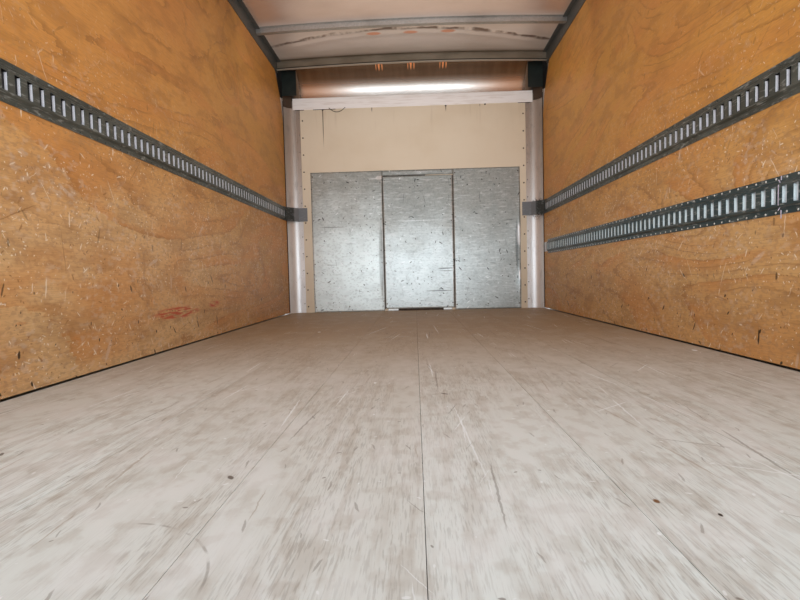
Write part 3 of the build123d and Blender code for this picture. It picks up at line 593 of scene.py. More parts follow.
# Roof skin: one sheet of mill aluminium glued and riveted over the bows. It hangs a
# little between them, and in the front bay a fold runs across it where it was walked on.
# It mirrors the load space in a blur. Inside, its colour also carries painted reflections:
# a warm tint of the wood in the front bay, a dark line along the fold and amber glints
# from the lamps, with painted shade beside the front bow.
sheet_bright = "#EFECE8"
sheet_dull = "#D2CCC4"
sheet_wood_reflection = "#F6C6AC"
fold_dark_reflection = "#5A3E26"
bow_shade = "#7B6450"
lamp_reflection = "#E8915E"
crown_rise = 0.03
roof_thick = 0.002
bow_width = 0.05
sheet_hang = 0.0035
hang_change = 0.004
fold_middle = (-0.08, 1.717)
fold_bend = 0.155
fold_width = 0.016
fold_depth = 0.006
wave_depth = 0.005
wave_behind = 0.07
front_bay = (1.5, 1.62)
spill_places = (-0.306, 0.003, 0.317)
spill_y = 1.785

roof_low, roof_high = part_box("roof_skin")


def turned_in(tree):
    """One on faces that look back or down: the inside of the roof, nose, caps and posts."""
    facing = node(tree, "TexCoord", {}, {}, "Normal")
    parts = node(tree, "SeparateXYZ", {}, {"Vector": facing}).node
    total = node(tree, "Math", {"operation": "ADD"}, {0: parts.outputs["Y"], 1: parts.outputs["Z"]})
    return node(tree, "Math", {"operation": "LESS_THAN"}, {0: total, 1: -0.02})


mill_sheet, tree, place = start("mill aluminium sheet")
axes = node(tree, "SeparateXYZ", {}, {"Vector": place}).node
smear = marks(tree, place, (500, 260, 500), 0.38, 0.7, 0.5, detail=6)
rolled = marks(tree, place, (9, 700, 9), 0.35, 0.7)
tone = tint(tree, smear, colour(sheet_bright), colour(sheet_dull))
inner = turned_in(tree)
# Painted reflection of the wood: a warm tint inside the front bay.
wood_reflection = both(tree, ramp(tree, axes.outputs["Y"], *front_bay, 0.35, 0.12), inner)
tone = tint(tree, wood_reflection, tone, colour(sheet_wood_reflection))
from_bend = node(tree, "Math", {"operation": "SUBTRACT"}, {0: axes.outputs["X"], 1: fold_middle[0]})
bent = node(tree, "Math", {"operation": "POWER"}, {0: from_bend, 1: 2.0})
bent = node(tree, "Math", {"operation": "MULTIPLY_ADD"}, {0: bent, 1: fold_bend, 2: fold_middle[1]})
past_fold = node(tree, "Math", {"operation": "SUBTRACT"}, {0: axes.outputs["Y"], 1: bent})
waver = marks(tree, place, (120, 60, 60), 0.2, 0.8, 0.03, detail=4)
past_fold = node(tree, "Math", {"operation": "ADD"}, {0: past_fold, 1: waver})
# Painted reflection: a dark line just past the fold, on the inside.
fold_rise = ramp(tree, past_fold, -0.016, 0.004)
fold_reflection = both(tree, fold_rise, ramp(tree, past_fold, 0.012, 0.045, 1.0, 0.0))
fold_reflection = both(tree, fold_reflection, marks(tree, place, (130, 400, 400), 0.34, 0.56, 0.85, detail=4))
tone = tint(tree, both(tree, fold_reflection, inner), tone, colour(fold_dark_reflection))
beside_bow = ramp(tree, axes.outputs["Y"], roof_high.y - 0.09, roof_high.y, 0.0, 0.6)
tone = tint(tree, both(tree, beside_bow, inner), tone, colour(bow_shade))
# Painted reflections of the amber lamp holes, as glints inside the sheet.
for x in spill_places:
    warm = both(tree, spot_at(tree, place, (x, spill_y, roof_high.z), (0.075, 0.03, 0.2)), inner)
    tone = tint(tree, both(tree, warm, 0.75), tone, colour(lamp_reflection))
metal = ramp(tree, axes.outputs["Y"], *front_bay, 0.75, 0.45)
surface(tree, {"Base Color": tone, "Metallic": metal, "Roughness": 0.33}, rolled, 0.05)


def share_of(length, whole):
    """How far a length has come through a whole one, from 0 to 1."""
    return min(1.0, max(0.0, length / whole))


half_width = roof_high.x
crown_radius = (half_width ** 2 + crown_rise ** 2) / (2 * crown_rise)
bow_places = [roof_high.y - (i + 1) * post_pitch for i in range(7)] + [roof_high.y, roof_low.y]

mesh = bmesh.new()
bmesh.ops.create_grid(mesh, x_segments=96, y_segments=230, size=1)
for vert in mesh.verts:
    x = vert.co.x * half_width
    y = roof_low.y + (vert.co.y + 1) / 2 * (roof_high.y - roof_low.y)
    under = roof_high.z - roof_thick - (crown_radius - math.sqrt(crown_radius ** 2 - x ** 2))
    bow_gap = min(abs(y - bow) for bow in bow_places)
    free = share_of(bow_gap - bow_width, 0.12) * share_of(-wall_x - 0.05 - abs(x), 0.2)
    hang = sheet_hang + hang_change * noise.noise((x * 2.3, y * 3.1, 4.0))
    fold_y = fold_middle[1] + fold_bend * (x - fold_middle[0]) ** 2
    fold = fold_depth * math.exp(-((y - fold_y) / fold_width) ** 2) * share_of(1.1 - abs(x), 0.2)
    wave = wave_depth * math.exp(-((y - fold_y - wave_behind) / 0.05) ** 2)
    vert.co = (x, y, under - free * (hang + wave) - share_of(bow_gap, 0.08) * fold)
roof_sheet = piece("roof_sheet", mesh, mill_sheet)
wall = roof_sheet.modifiers.new("sheet thickness", "SOLIDIFY")
wall.thickness = roof_thick
wall.offset = 1.0
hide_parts("roof_skin")

# Nose panel: the same mill sheet rolled over the large radius, so it mirrors the doorway as
# a bright bar. Inside, towards its ends, it carries a warm painted reflection of the wood
# walls. Its upper part inside is brown with dust, with short amber marks where daylight
# comes through the lamps' wire holes.
nose_bright = "#F2EDE8"
nose_film = "#DDD3CB"
nose_wood_reflection = "#D6A47A"
nose_brown = "#735536"
nose_streak = "#8F7355"
nose_amber = "#FFB98A"
lamp_glow = "#E88A4E"
lamp_pitch = 0.305
nose_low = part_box("nose_panel")[0]

rolled_nose, tree, place = start("rolled mill aluminium nose")
height = node(tree, "SeparateXYZ", {}, {"Vector": place}, "Z")
smear = marks(tree, place, (400, 200, 120), 0.38, 0.7, 0.6, detail=6)
streaks = marks(tree, place, (60, 500, 500), 0.35, 0.7, 0.5, detail=4)
tone = tint(tree, smear, colour(nose_bright), colour(nose_film))
inner = turned_in(tree)
# Painted reflection of the wood walls: a warm tint towards the ends, on the inside.
ends_reflection = both(tree, ramp(tree, from_middle(tree, place), 0.5, 1.05, 0.0, 0.7), inner)
tone = tint(tree, ends_reflection, tone, colour(nose_wood_reflection))
higher = ramp(tree, height, nose_low.z + 0.12, nose_low.z + 0.2, 0.0, 0.9)
dusty = both(tree, higher, inner)
tone = tint(tree, dusty, tone, tint(tree, streaks, colour(nose_brown), colour(nose_streak)))
glow = 0.0
for i in (-1, 0, 1):
    for off, size in ((0.0, 0.011), (0.03, 0.007), (-0.028, 0.005)):
        hole = (i * lamp_pitch + off, nose_low.y + 0.2, nose_low.z + 0.275)
        lit = spot_at(tree, place, hole, (size, 0.3, 0.045))
        glow = node(tree, "Math", {"operation": "ADD"}, {0: glow, 1: lit})
glow = both(tree, glow, inner)
tone = tint(tree, glow, tone, colour(nose_amber))
surface(tree, {
    "Base Color": tone, "Metallic": ramp(tree, dusty, 0.0, 0.9, 0.95, 0.55), "Roughness": 0.27,
    "Emission Color": colour(lamp_glow), "Emission Strength": both(tree, glow, 0.3),
})
dress(rolled_nose, "nose_panel")

# Corner caps: pressed aluminium, painted white outside with the skin, and brown with dust
# inside. In the corners behind the gussets a painted shade makes them almost black.
cap_outside = "#DFE0E0"
cap_dust = "#8A6B50"
cap_corner_shade = "#1A1815"

cap_white, tree, place = start("white painted corner cap")
film = marks(tree, place, (200, 200, 200), 0.4, 0.75, 0.35, detail=6)
tone = tint(tree, film, colour(cap_outside), colour(road_film))
# Painted shade: almost black in the deep corners behind the gussets.
corner_shade = ramp(tree, from_middle(tree, place), 1.13, 1.19)
dust = tint(tree, corner_shade, colour(cap_dust), colour(cap_corner_shade))
dusty = both(tree, turned_in(tree), 0.95)
surface(tree, {"Base Color": tint(tree, dusty, tone, dust), "Roughness": 0.32})
dress(cap_white, "corner_cap_left", "corner_cap_right")

# Corner posts: extruded aluminium, coved inside, with a satin draw finish that has gone
# dirty and scratched where loads lean on it. The flange is riveted behind the lining.
post_bright = "#F6F7F8"
post_soil = "#8A8179"
post_upper_brown = "#947C62"
post_nick = "#3E3630"
post_grime = "#2E2721"

post_inner_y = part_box("lining_left_lower")[1].y

satin_post, tree, place = start("satin extruded post")
height = node(tree, "SeparateXYZ", {}, {"Vector": place}, "Z")
draw = marks(tree, place, (4, 4, 1600), 0.35, 0.65)
soil = marks(tree, place, (40, 40, 110), 0.5, 0.78, 0.4, detail=7)
soil = both(tree, ramp(tree, height, floor_z, 2.2, 0.5, 1.0), soil)
nicks = marks(tree, place, (9, 9, 5), 0.7, 0.74, 0.8)
# Browner towards the top, on the inner faces.
higher = ramp(tree, height, floor_z + 0.3, 2.1, 0.0, 0.7)
grime = spot_at(tree, place, (1.2, post_inner_y + 0.08, 1.2), (0.1, 0.12, 0.12))
grime = both(tree, grime, marks(tree, place, (14, 14, 22), 0.45, 0.55, 0.9, detail=4))
inner = turned_in(tree)
dirt = (higher, post_upper_brown), (soil, post_soil), (nicks, post_nick), (grime, post_grime)
tone = coated(tree, colour(post_bright), *((both(tree, amount, inner), code) for amount, code in dirt))
surface(tree, {"Base Color": tone, "Metallic": 0.55, "Roughness": 0.38}, draw, 0.06)
dress(satin_post, "corner_post_left", "corner_post_right")

# Corner gussets and castings: the gussets are plate coloured near black, and the castings
# rough brown-primed iron with a sandy skin.
dark_gusset = two_tone(
    "near-black gusset plate", "#1C2422", "#333B38", (80, 80, 80), 0.45, 0.75, 0.4,
    {"Roughness": 0.45}, 5,
)
dress(dark_gusset, "corner_gussets")
brown_casting = two_tone(
    "brown primed casting", "#3A2E25", "#584638", (4, 4, 4), 0.3, 0.7, 1.0,
    {"Roughness": 0.6}, 4, 0.8,
)
dress(brown_casting, "corner_castings")

# Front lining: plywood faced with a pale gel coat, riveted down both edges. Water has run
# down it from the cap in a few thin dark lines.
lining_cream = "#E2D4BD"
lining_stain = "#CFBB9D"
lining_weep = "#A58C70"
weep_line = "#4A3A2C"
lining_rivet_pitch = 0.166
lining_rivet_x = 1.075
flange_rivet_x = 1.112
lining_low, lining_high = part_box("front_lining")
cap_low, cap_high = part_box("lining_cap")

pale_lining, tree, place = start("pale gel-coated lining")
height = node(tree, "SeparateXYZ", {}, {"Vector": place}, "Z")
cloud = marks(tree, place, (700, 700, 500), 0.35, 0.75, 0.5, detail=4)
weep = marks(tree, place, (40, 40, 500), 0.56, 0.76, 0.22, detail=5)
near_cap = ramp(tree, height, cap_low.z - 0.3, cap_low.z, 0.1, 1.0)
tone = tint(tree, cloud, colour(lining_cream), colour(lining_stain))
tone = tint(tree, both(tree, weep, near_cap), tone, colour(lining_weep))
for x, length, amount in ((-0.872, 0.42, 0.85), (-0.39, 0.05, 0.7), (0.33, 0.07, 0.8), (0.66, 0.03, 0.5)):
    line = spot_at(tree, place, (x, lining_low.y, cap_low.z), (0.006, 1, length))
    tone = tint(tree, both(tree, line, amount), tone, colour(weep_line))
surface(tree, {"Base Color": tone, "Roughness": 0.4})
dress(pale_lining, "front_lining")

dull_rivet = two_tone(
    "rivet head gone dark", "#4A3D31", "#221C17", (16, 16, 16), 0.3, 0.7, 0.6, {"Roughness": 0.5},
)
for name, x, y, foot, material, slot, radius in (
    ("lining_rivets", lining_rivet_x, lining_low.y, 0.06, dull_rivet, "pale_lining", 0.0075),
    ("flange_rivets", flange_rivet_x, lining_high.y, 0.09, rivet_alloy, "post_alloy", 0.006),
):
    heights = run_of(lining_low.z + foot, cap_low.z - 0.03, lining_rivet_pitch)
    spots = [(side * x, y, z) for side in (-1, 1) for z in heights]
    rivets(name, spots, (0, -1, 0), material, radius=radius, height=0.003)

# Lining cap: a folded sheet over the lining's top edge. It was painted white, and hands and
# loads have rubbed the paint thin along it.
cap_paint = two_tone(
    "rubbed white cap sheet", "#FBF7F4", "#DFD5CD", (160, 20, 14), 0.45, 0.7, 0.5,
    {"Roughness": 0.32}, 5,
)
dress(cap_paint, "lining_cap")

# Cap fittings: a bent loop of tie wire that hangs from a black screw under the cap, and
# the dark shadow slots where the cap's ends stand off the lining.
tie_wire = two_tone(
    "blackened tie wire", "#1D1916", "#4A3526", (8, 8, 8), 0.4, 0.7, 0.5, {"Roughness": 0.6},
)
wire_radius = 0.003
wire_y = lining_low.y - wire_radius
wire_from, wire_to, wire_sag = -0.809, -0.652, 0.041
wire_top = cap_low.z + 0.01
mesh = bmesh.new()
for i in range(12):
    points = []
    for k in (i, i + 1):
        share = k / 12
        x = wire_from + share * (wire_to - wire_from)
        points.append(Vector((x, wire_y, wire_top - 4 * wire_sag * share * (1 - share))))
    along = points[1] - points[0]
    facing = along.to_track_quat("Z", "Y").to_matrix().to_4x4()
    bmesh.ops.create_cone(
        mesh, cap_ends=True, segments=8, radius1=wire_radius, radius2=wire_radius,
        depth=along.length * 1.15,
        matrix=Matrix.Translation((points[0] + points[1]) / 2) @ facing,
    )
piece("tie_wire", mesh, tie_wire)
screw_places = ((-0.872, 0.006), (0.33, 0.006), (0.71, 0.004))
spots = [(x, lining_low.y, cap_low.z - drop) for x, drop in screw_places]
rivets("cap_screws", spots, (0, -1, 0), tie_wire, radius=0.009, height=0.005)
mesh = bmesh.new()
for x0, x1 in (
    (cap_low.x + 0.02, cap_low.x + 0.11), (cap_high.x - 0.14, cap_high.x - 0.02),
    (cap_low.x + 0.2, cap_low.x + 0.42),
):
    middle = ((x0 + x1) / 2, lining_low.y - 0.001, cap_low.z - 0.0025)
    bar(mesh, middle, (x1 - x0, 0.002, 0.005))
piece("cap_shadow_slots", mesh, tie_wire, smooth=False)

# Wear plates and access panel: galvanised sheet screwed over the lining and over the
# closed doorway. Loads have bowed it, scratched it and curled its edges off the lining.
# Its colour also carries painted light: a pale painted reflection low down and palest at
# the lower left, painted shade towards the right and in a patch in the middle, and
# painted highlights and shade at the curled edges.
plate_upper = "#A9AEA9"
plate_lower_reflection = "#DAE5E6"
plate_light = "#F6FCFE"
plate_dark = "#7A8485"
plate_shade = "#A0A9A8"
plate_scratch_and_shade = "#2C3032"
plate_pale_reflection = "#F2FFFF"
plate_glint = "#FFFFFF"
plate_thick = 0.0012
plate_bow = 0.001
plates_low, plates_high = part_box("wear_plates")

wear_zinc, tree, place = start("scratched galvanised plate")
axes = node(tree, "SeparateXYZ", {}, {"Vector": place}).node
cloud = marks(tree, place, (110, 120, 80), 0.44, 0.66, 0.14, detail=10)
smear = marks(tree, place, (90, 90, 14), 0.52, 0.66, 0.3, detail=9)
grit = marks(tree, place, (22, 22, 15), 0.5, 0.64, 0.24, detail=9)
drop = marks(tree, place, (300, 300, 200), 0.3, 0.7, 0.22, detail=9)
# Painted reflection: the lower part is made pale, palest at the lower left; painted shade towards the right
# and in a middle patch.
down = node(tree, "Math", {"operation": "ADD"}, {0: axes.outputs["Z"], 1: drop})
lower = ramp(tree, down, floor_z + 0.45, floor_z + 1.5, 1.0, 0.0)
left_side = both(tree, lower, ramp(tree, axes.outputs["X"], -0.35, -0.25, 0.7, 0.0))
right_side = ramp(tree, axes.outputs["X"], 0.1, 0.9, 0.0, 0.65)
shade = spot_at(tree, place, (0.04, plates_high.y, floor_z + 1.25), (0.6, 1, 0.55))
grain = spangle(tree, place, 110)
tone = coated(
    tree, colour(plate_upper), (lower, plate_lower_reflection), (left_side, plate_pale_reflection),
    (right_side, plate_shade), (both(tree, shade, 0.5), plate_shade),
    (both(tree, grain, 0.16), plate_light), (cloud, plate_dark), (smear, plate_light),
    (grit, plate_dark),
)
flat = ragged(tree, node(tree, "CombineXYZ", {}, {"X": axes.outputs["X"], "Y": axes.outputs["Z"]}), 9)
for cell, length, width, share, lean, spread, amount, code in (
    # cell, length, width, share, lean, spread, amount, colour
    (90, 50, 13, 0.4, 0.0, 3.1, 0.85, plate_scratch_and_shade), (56, 22, 12, 0.35, 0.0, 3.1, 0.85, plate_scratch_and_shade),
    (230, 200, 7, 0.5, -0.25, 0.5, 0.6, plate_scratch_and_shade), (260, 220, 9, 0.5, -0.25, 0.5, 0.8, plate_light),
    (80, 44, 12, 0.4, 0.0, 3.1, 0.8, plate_light), (150, 120, 6, 0.4, 1.3, 0.6, 0.55, plate_scratch_and_shade),
    (64, 40, 8, 0.4, -0.2, 0.4, 0.5, plate_dark),
):
    tick = flecks(tree, flat, cell, length, width, share, lean, spread, cell / 97)
    cluster = marks(tree, place, (150, 150, 110), 0.46, 0.56, at=(cell / 31, 0, 0))
    tone = tint(tree, both(tree, both(tree, tick, cluster), amount), tone, colour(code))
# Painted highlights (plate_glint) where edges curl, and painted shade in the tall dark bands at x -0.33 and
# 1.0; the rest are scratches and a pale line.
for x, z, reach, tall, amount, code in (
    # x, height over the floor, reach, height, amount, colour
    (-0.335, 1.31, 0.045, 0.024, 0.6, plate_glint), (1.02, 0.72, 0.03, 0.13, 0.8, plate_glint),
    (1.03, 0.33, 0.02, 0.06, 0.8, plate_glint), (-0.33, 0.5, 0.035, 0.45, 0.45, plate_dark),
    (0.3, 0.41, 0.09, 0.006, 0.9, plate_scratch_and_shade), (0.3, 0.385, 0.09, 0.004, 0.6, plate_scratch_and_shade),
    (0.23, 0.19, 0.16, 0.005, 0.7, plate_scratch_and_shade), (0.04, 0.885, 0.33, 0.005, 0.5, plate_light),
    (-0.8, 0.84, 0.16, 0.006, 0.5, plate_scratch_and_shade), (1.0, 0.62, 0.02, 0.3, 0.5, plate_scratch_and_shade),
):
    mark = spot_at(tree, place, (x, plates_high.y, floor_z + z), (reach, 1, tall))
    tone = tint(tree, both(tree, mark, amount), tone, colour(code))
surface(tree, {
    "Base Color": tone, "Metallic": 0.6, "Roughness": ramp(tree, lower, 0.0, 1.0, 0.5, 0.38),
}, grit, -0.25)

panel_low, panel_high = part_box("access_panel")
plate_gap = 0.006
gap_left = panel_low.x - plate_gap
gap_right = panel_high.x + plate_gap


def wear_sheet(name, x0, x1, z0, z1, curls, node_names=()):
    """A thin sheet on the lining with shallow dents, and edges that curl off it by a table."""
    mesh = bmesh.new()
    columns = max(2, int((x1 - x0) / 0.013))
    rows = max(2, int((z1 - z0) / 0.013))
    bmesh.ops.create_grid(mesh, x_segments=columns, y_segments=rows, size=1)
    for vert in mesh.verts:
        x = (x0 + x1) / 2 + vert.co.x * (x1 - x0) / 2
        z = (z0 + z1) / 2 + vert.co.y * (z1 - z0) / 2
        inside = share_of(min(x - x0, x1 - x, z - z0, z1 - z), 0.08)
        wide_dent = 0.0008 * noise.noise((x * 3.0, 7.0, z * 2.4))
        small_dent = 0.0004 * noise.noise((x * 15.0, 3.0, z * 12.0))
        bow = plate_bow + wide_dent + small_dent
        lift = plate_thick + inside * max(0.0, bow)
        for edge, middle, length, reach, height in curls:
            off, along = {"left": (x - x0, z), "right": (x1 - x, z), "top": (z1 - z, x)}[edge]
            lift += height * math.exp(-off / reach) * math.exp(-((along - middle) / length) ** 2)
        vert.co = (x, plates_high.y - lift, z)
    made = piece(name, mesh, wear_zinc)
    wall = made.modifiers.new("sheet thickness", "SOLIDIFY")
    wall.thickness = plate_thick
    wall.offset = -1.0
    if node_names:
        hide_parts(*node_names)


wear_sheet("wear_plate_left", plates_low.x, gap_left, plates_low.z, plates_high.z, (
    # edge, middle, length, reach, height
    ("right", 1.55, 0.12, 0.05, 0.012), ("right", 0.9, 0.25, 0.02, 0.006),
    ("right", 0.45, 0.16, 0.03, 0.007),
), ["wear_plates"])
wear_sheet("wear_plate_right", gap_right, plates_high.x, plates_low.z, plates_high.z, (
    ("right", 1.0, 0.18, 0.05, 0.009), ("right", 0.5, 0.12, 0.03, 0.008),
    ("right", 1.4, 0.1, 0.02, 0.004),
))
top_foot = panel_high.z + plate_gap
wear_sheet("wear_plate_top", gap_left + 0.001, gap_right - 0.001, top_foot, plates_high.z, (
    ("left", 1.6, 0.2, 0.05, 0.004),
))
wear_sheet("access_sheet", panel_low.x, panel_high.x, panel_low.z, panel_high.z, (
    ("left", 1.45, 0.12, 0.03, 0.006), ("right", 0.7, 0.2, 0.03, 0.006),
    ("top", 0.2, 0.3, 0.02, 0.003),
), ["access_panel"])

# Gap shadow: thin black strips of painted shadow in the gaps beside and over the access
# panel, and in the corners where the side linings end at the posts.
shadow_strip_thick = 0.0006
end_face = post_inner_y + 0.0009
end_foot, end_top = floor_z + 0.01, nose_low.z - 0.03
black_shadow_strip = two_tone(
    "black painted shadow", "#0E0D0C", "#2A2724", (6, 6, 6), 0.3, 0.7, 1.0, {"Roughness": 0.8}, relief_mm=0.5,
)
# Painted shadow: black strips where the gaps and corners show only shade.
for name, face_y, x0, x1, z0, z1 in (
    # name, face, low x, high x, low z, high z
    ("gap_shadow_left", plates_high.y, gap_left - 0.004, panel_low.x + 0.004, panel_low.z, panel_high.z),
    ("gap_shadow_right", plates_high.y, panel_high.x - 0.004, gap_right + 0.004, panel_low.z, panel_high.z),
    ("gap_shadow_top", plates_high.y, panel_low.x, panel_low.x + 0.42, panel_high.z - 0.003,
     panel_high.z + 0.008),
    ("end_shadow_left", end_face, wall_x - 0.001, wall_x + 0.007, end_foot, end_top),
    ("end_shadow_right", end_face, -wall_x - 0.007, -wall_x + 0.001, end_foot, end_top),
):
    mesh = bmesh.new()
    middle = ((x0 + x1) / 2, face_y - shadow_strip_thick / 2, (z0 + z1) / 2)
    bar(mesh, middle, (x1 - x0, shadow_strip_thick, z1 - z0))
    bmesh.ops.bevel(
        mesh, geom=mesh.edges[:], affect="EDGES", offset=0.0001, segments=1, profile=0.5, material=-1,
    )
    piece(name, mesh, black_shadow_strip, smooth=False)

# Plate screws: pan heads gone dark, four down each side of a plate and one at the middle of
# its head and foot.
screw_inset = 0.018
spots = []
for x0, x1, z0, z1 in (
    (plates_low.x, gap_left, plates_low.z, plates_high.z),
    (gap_right, plates_high.x, plates_low.z, plates_high.z),
    (panel_low.x, panel_high.x, panel_low.z, panel_high.z),
):
    for i in range(4):
        z = z0 + 0.05 + i * (z1 - z0 - 0.09) / 3
        spots += [(x0 + screw_inset, z), (x1 - screw_inset, z)]
        spots += [((x0 + x1) / 2, z)] if i in (0, 3) else []
plate_spots = [(x, plates_high.y - plate_thick - 0.0004, z) for x, z in spots]
rivets("plate_screws", plate_spots, (0, -1, 0), dull_rivet, radius=0.006, height=0.0035)

# Doorway cleat: an offcut of hardwood screwed to the floor behind the panel's foot,
# coloured dark as painted shade for the shadow there. It is unfinished, with its grain
# along the body's width.
cleat_in_shade = two_tone(
    "hardwood cleat in painted shade", "#2E251D", "#54453A", (60, 6, 6), 0.4, 0.7, 1.0, {"Roughness": 0.7},
)
dress(cleat_in_shade, "doorway_cleat")

# Rear frame: welded steel boxes round the doorway in white enamel. The enamel is chipped to
# brown steel on the sill, where loads are dragged over it, and filmed with road dirt.
frame_white = "#DCDDDC"
frame_chip = "#4A3B31"

frame_enamel, tree, place = start("white frame enamel")
height = node(tree, "SeparateXYZ", {}, {"Vector": place}, "Z")
chipped = marks(tree, place, (40, 40, 30), 0.6, 0.66, 0.9, detail=6)
chipped = both(tree, chipped, ramp(tree, height, 0.2, 0.5, 1.0, 0.1))
film = marks(tree, place, (160, 160, 200), 0.4, 0.75, 0.4, detail=6)
tone = coated(tree, colour(frame_white), (film, road_film), (chipped, frame_chip))
surface(tree, {"Base Color": tone, "Roughness": 0.36})
dress(frame_enamel, "rear_post_left", "rear_post_right", "rear_sill", "rear_header")

# Hinges, lock rods and keepers: forged steel, zinc plated, and gone matt with white bloom.
# The hinges are bolted through the posts and doors, and the rods turn in riveted guides.
zinc_plate = two_tone(
    "zinc-plated forging", "#C2C2BE", "#8E8C86", (30, 30, 30), 0.4, 0.7, 0.6,
    {"Metallic": 1.0, "Roughness": 0.4}, 5, 0.2,
)
dress(zinc_plate, "frame_hinges_left", "frame_hinges_right", "door_hardware_left",
      "door_hardware_right", "lock_keepers")

# Rear doors: plywood-cored panels faced with white sheet on both sides. The sheet is glossy
# under a thin film of road dirt.
door_face = two_tone(
    "white faced door panel", "#E2E3E2", road_film, (300, 300, 400), 0.4, 0.75, 0.35,
    {"Roughness": 0.3, "Coat Weight": 0.3}, 6,
)
dress(door_face, "door_left", "door_right")

# Door trims: flat aluminium strip round each door's outer face, riveted along its middle.
# It is the same mill alloy as the rails.
trim_wide = 0.032
trim_thick = 0.0012
trim_pitch = 0.15

for name, side in (("door_left", -1), ("door_right", 1)):
    low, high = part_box(name)
    face_x = low.x if side > 0 else high.x
    mesh = bmesh.new()
    for y0, y1, z0, z1 in (
        (low.y, high.y, low.z, low.z + trim_wide), (low.y, high.y, high.z - trim_wide, high.z),
        (low.y, low.y + trim_wide, low.z + trim_wide, high.z - trim_wide),
        (high.y - trim_wide, high.y, low.z + trim_wide, high.z - trim_wide),
    ):
        middle = (face_x - side * trim_thick / 2, (y0 + y1) / 2, (z0 + z1) / 2)
        bar(mesh, middle, (trim_thick, y1 - y0, z1 - z0))
    piece(name + "_trim", mesh, extruded_alloy, name, smooth=False)
    trim_x = face_x - side * trim_thick
    spots = []
    for z in run_of(low.z + 0.05, high.z - 0.05, trim_pitch):
        spots += [(trim_x, low.y + trim_wide / 2, z), (trim_x, high.y - trim_wide / 2, z)]
    for y in run_of(low.y + 0.1, high.y - 0.1, trim_pitch):
        spots += [(trim_x, y, low.z + trim_wide / 2), (trim_x, y, high.z - trim_wide / 2)]
    rivets(name + "_trim_rivets", spots, (-side, 0, 0), rivet_alloy, name, 0.004, 0.0015)

# Marker lamps: moulded acrylic lenses, amber on the nose and red on the header. Daylight
# shines through the nose's lenses and their wire holes into the load space. Both lenses
# carry a painted glow, the amber ones for that daylight and the red ones faintly.
for name, code, glow, node_name in (
    ("amber acrylic lens", "#E8760E", 0.9, "marker_lamps_front"),
    ("red acrylic lens", "#B3171B", 0.15, "marker_lamps_rear"),
):
    lens, tree, place = start(name)
    flutes = node(tree, "TexWave", {"bands_direction": "X"}, {"Vector": place, "Scale": 60.0})
    surface(tree, {
        "Base Color": colour(code), "Roughness": 0.12,
        "Emission Color": colour(code), "Emission Strength": glow,
    }, flutes, 0.6)
    dress(lens, node_name)

# Studio floor: a plain pale matt ground that the sills stand on. It isn't part of the
# object.
studio_grey = "#D9D9D7"
ground = bpy.data.meshes.new("studio_floor")
mesh = bmesh.new()
bmesh.ops.create_grid(mesh, x_segments=1, y_segments=1, size=40)
mesh.to_mesh(ground)
mesh.free()
pale_floor, tree, place = start("pale studio floor")
surface(tree, {"Base Color": colour(studio_grey), "Roughness": 0.8})
ground.materials.append(pale_floor)
studio_floor = bpy.data.objects.new("studio_floor", ground)
bpy.context.scene.collection.objects.link(studio_floor)

# Sky: an even white all round. It is a little brighter where the camera, glossy metal or
# glass sees it than where it lights the object.
sky = bpy.data.worlds.new("studio sky")
bpy.context.scene.world = sky
sky.use_nodes = True
tree = sky.node_tree
tree.nodes.clear()
rays = node(tree, "LightPath", {}, {}).node
seen = node(tree, "Math", {"operation": "MAXIMUM"}, {
    0: rays.outputs["Is Camera Ray"], 1: rays.outputs["Is Glossy Ray"],
})
seen = node(tree, "Math", {"operation": "MAXIMUM"}, {0: seen, 1: rays.outputs["Is Transmission Ray"]})
level = node(tree, "MapRange", {}, {"Value": seen, "To Min": 0.75, "To Max": 1.0})
even_white = node(tree, "Background", {}, {"Color": (1, 1, 1, 1), "Strength": level})
node(tree, "OutputWorld", {}, {"Surface": even_white})

# Lamps: cool daylight through the open doorway, and the soft plain light that comes back
# from the floor, the roof and the nose.
daylight = "#ECF6FF"


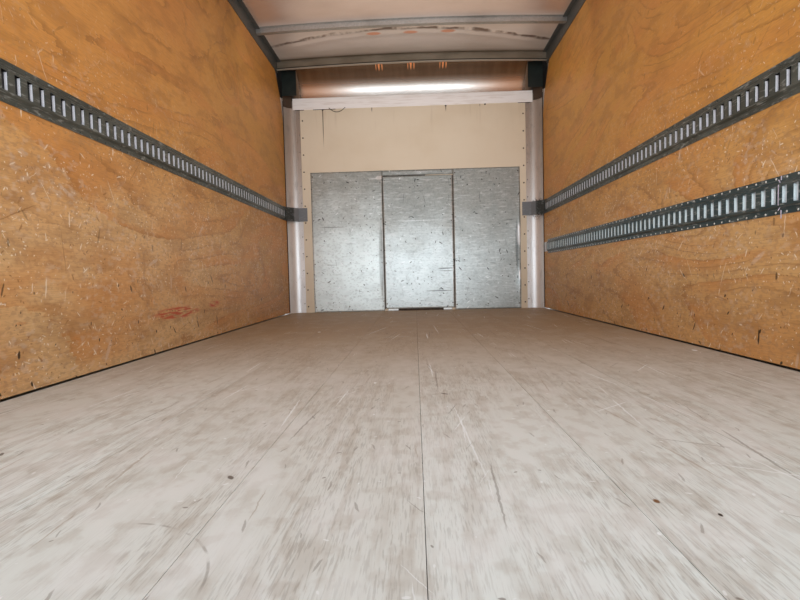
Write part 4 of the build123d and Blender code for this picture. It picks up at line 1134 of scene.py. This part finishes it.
def soft_lamp(name, middle, toward, width, depth, power, code="#FFFFFF", mirrored=False, spread=180):
    """A soft rectangular lamp that the camera doesn't see, and metal only if it is mirrored."""
    lamp = bpy.data.lights.new(name, "AREA")
    lamp.spread = math.radians(spread)
    lamp.shape = "RECTANGLE"
    lamp.size = width
    lamp.size_y = depth
    lamp.energy = power
    lamp.color = colour(code)[:3]
    made = bpy.data.objects.new(name, lamp)
    facing = Vector(toward).to_track_quat("-Z", "Y").to_matrix().to_4x4()
    made.matrix_world = Matrix.Translation(middle) @ facing
    made.visible_camera = False
    made.visible_glossy = mirrored
    bpy.context.scene.collection.objects.link(made)


rear_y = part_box("rear_sill")[0].y
for name, height, mirrored in (("doorway_low", 0.6, True), ("doorway_high", 1.7, False)):
    middle = (0, rear_y + 0.07, floor_z + height)
    soft_lamp(name, middle, (0, 1, 0), 2.42, 1.1, 14.4, daylight, mirrored, 130)
soft_lamp("roof_light_rear", (0, -1.0, floor_z + 2.2), (0, 0, -1), 1.8, 1.6, 8)
soft_lamp("roof_light_front", (0, 1.0, floor_z + 2.2), (0, 0, -1), 1.8, 1.6, 6)
soft_lamp("floor_bounce", (0, 0.1, floor_z + 0.2), (0, 0, 1), 1.9, 3.8, 8.6)
soft_lamp("nose_fill", (0, 1.0, floor_z + 2.1), (0, 1, 0.1), 1.9, 0.35, 4.4)

# Camera: it stands just outside the doorway, low over the floor, and looks forward with a
# slight roll, as in the photograph.
lens_mm = 22.573
eye = Vector((-0.006, rear_y - 0.093, floor_z + 0.34585))
yaw = math.radians(1.776)
pitch = math.radians(-2.767)
roll = math.radians(-1.404)
view = bpy.data.cameras.new("camera")
view.sensor_width = 36
view.lens = lens_mm
view.clip_start = 0.02
camera = bpy.data.objects.new("camera", view)
level_view = Matrix.Rotation(yaw, 4, "Z") @ Matrix.Rotation(math.pi / 2 + pitch, 4, "X")
camera.matrix_world = Matrix.Translation(eye) @ level_view @ Matrix.Rotation(roll, 4, "Z")
bpy.context.scene.collection.objects.link(camera)
bpy.context.scene.camera = camera
bpy.context.scene.view_settings.view_transform = "Standard"

bpy.context.view_layer.update()
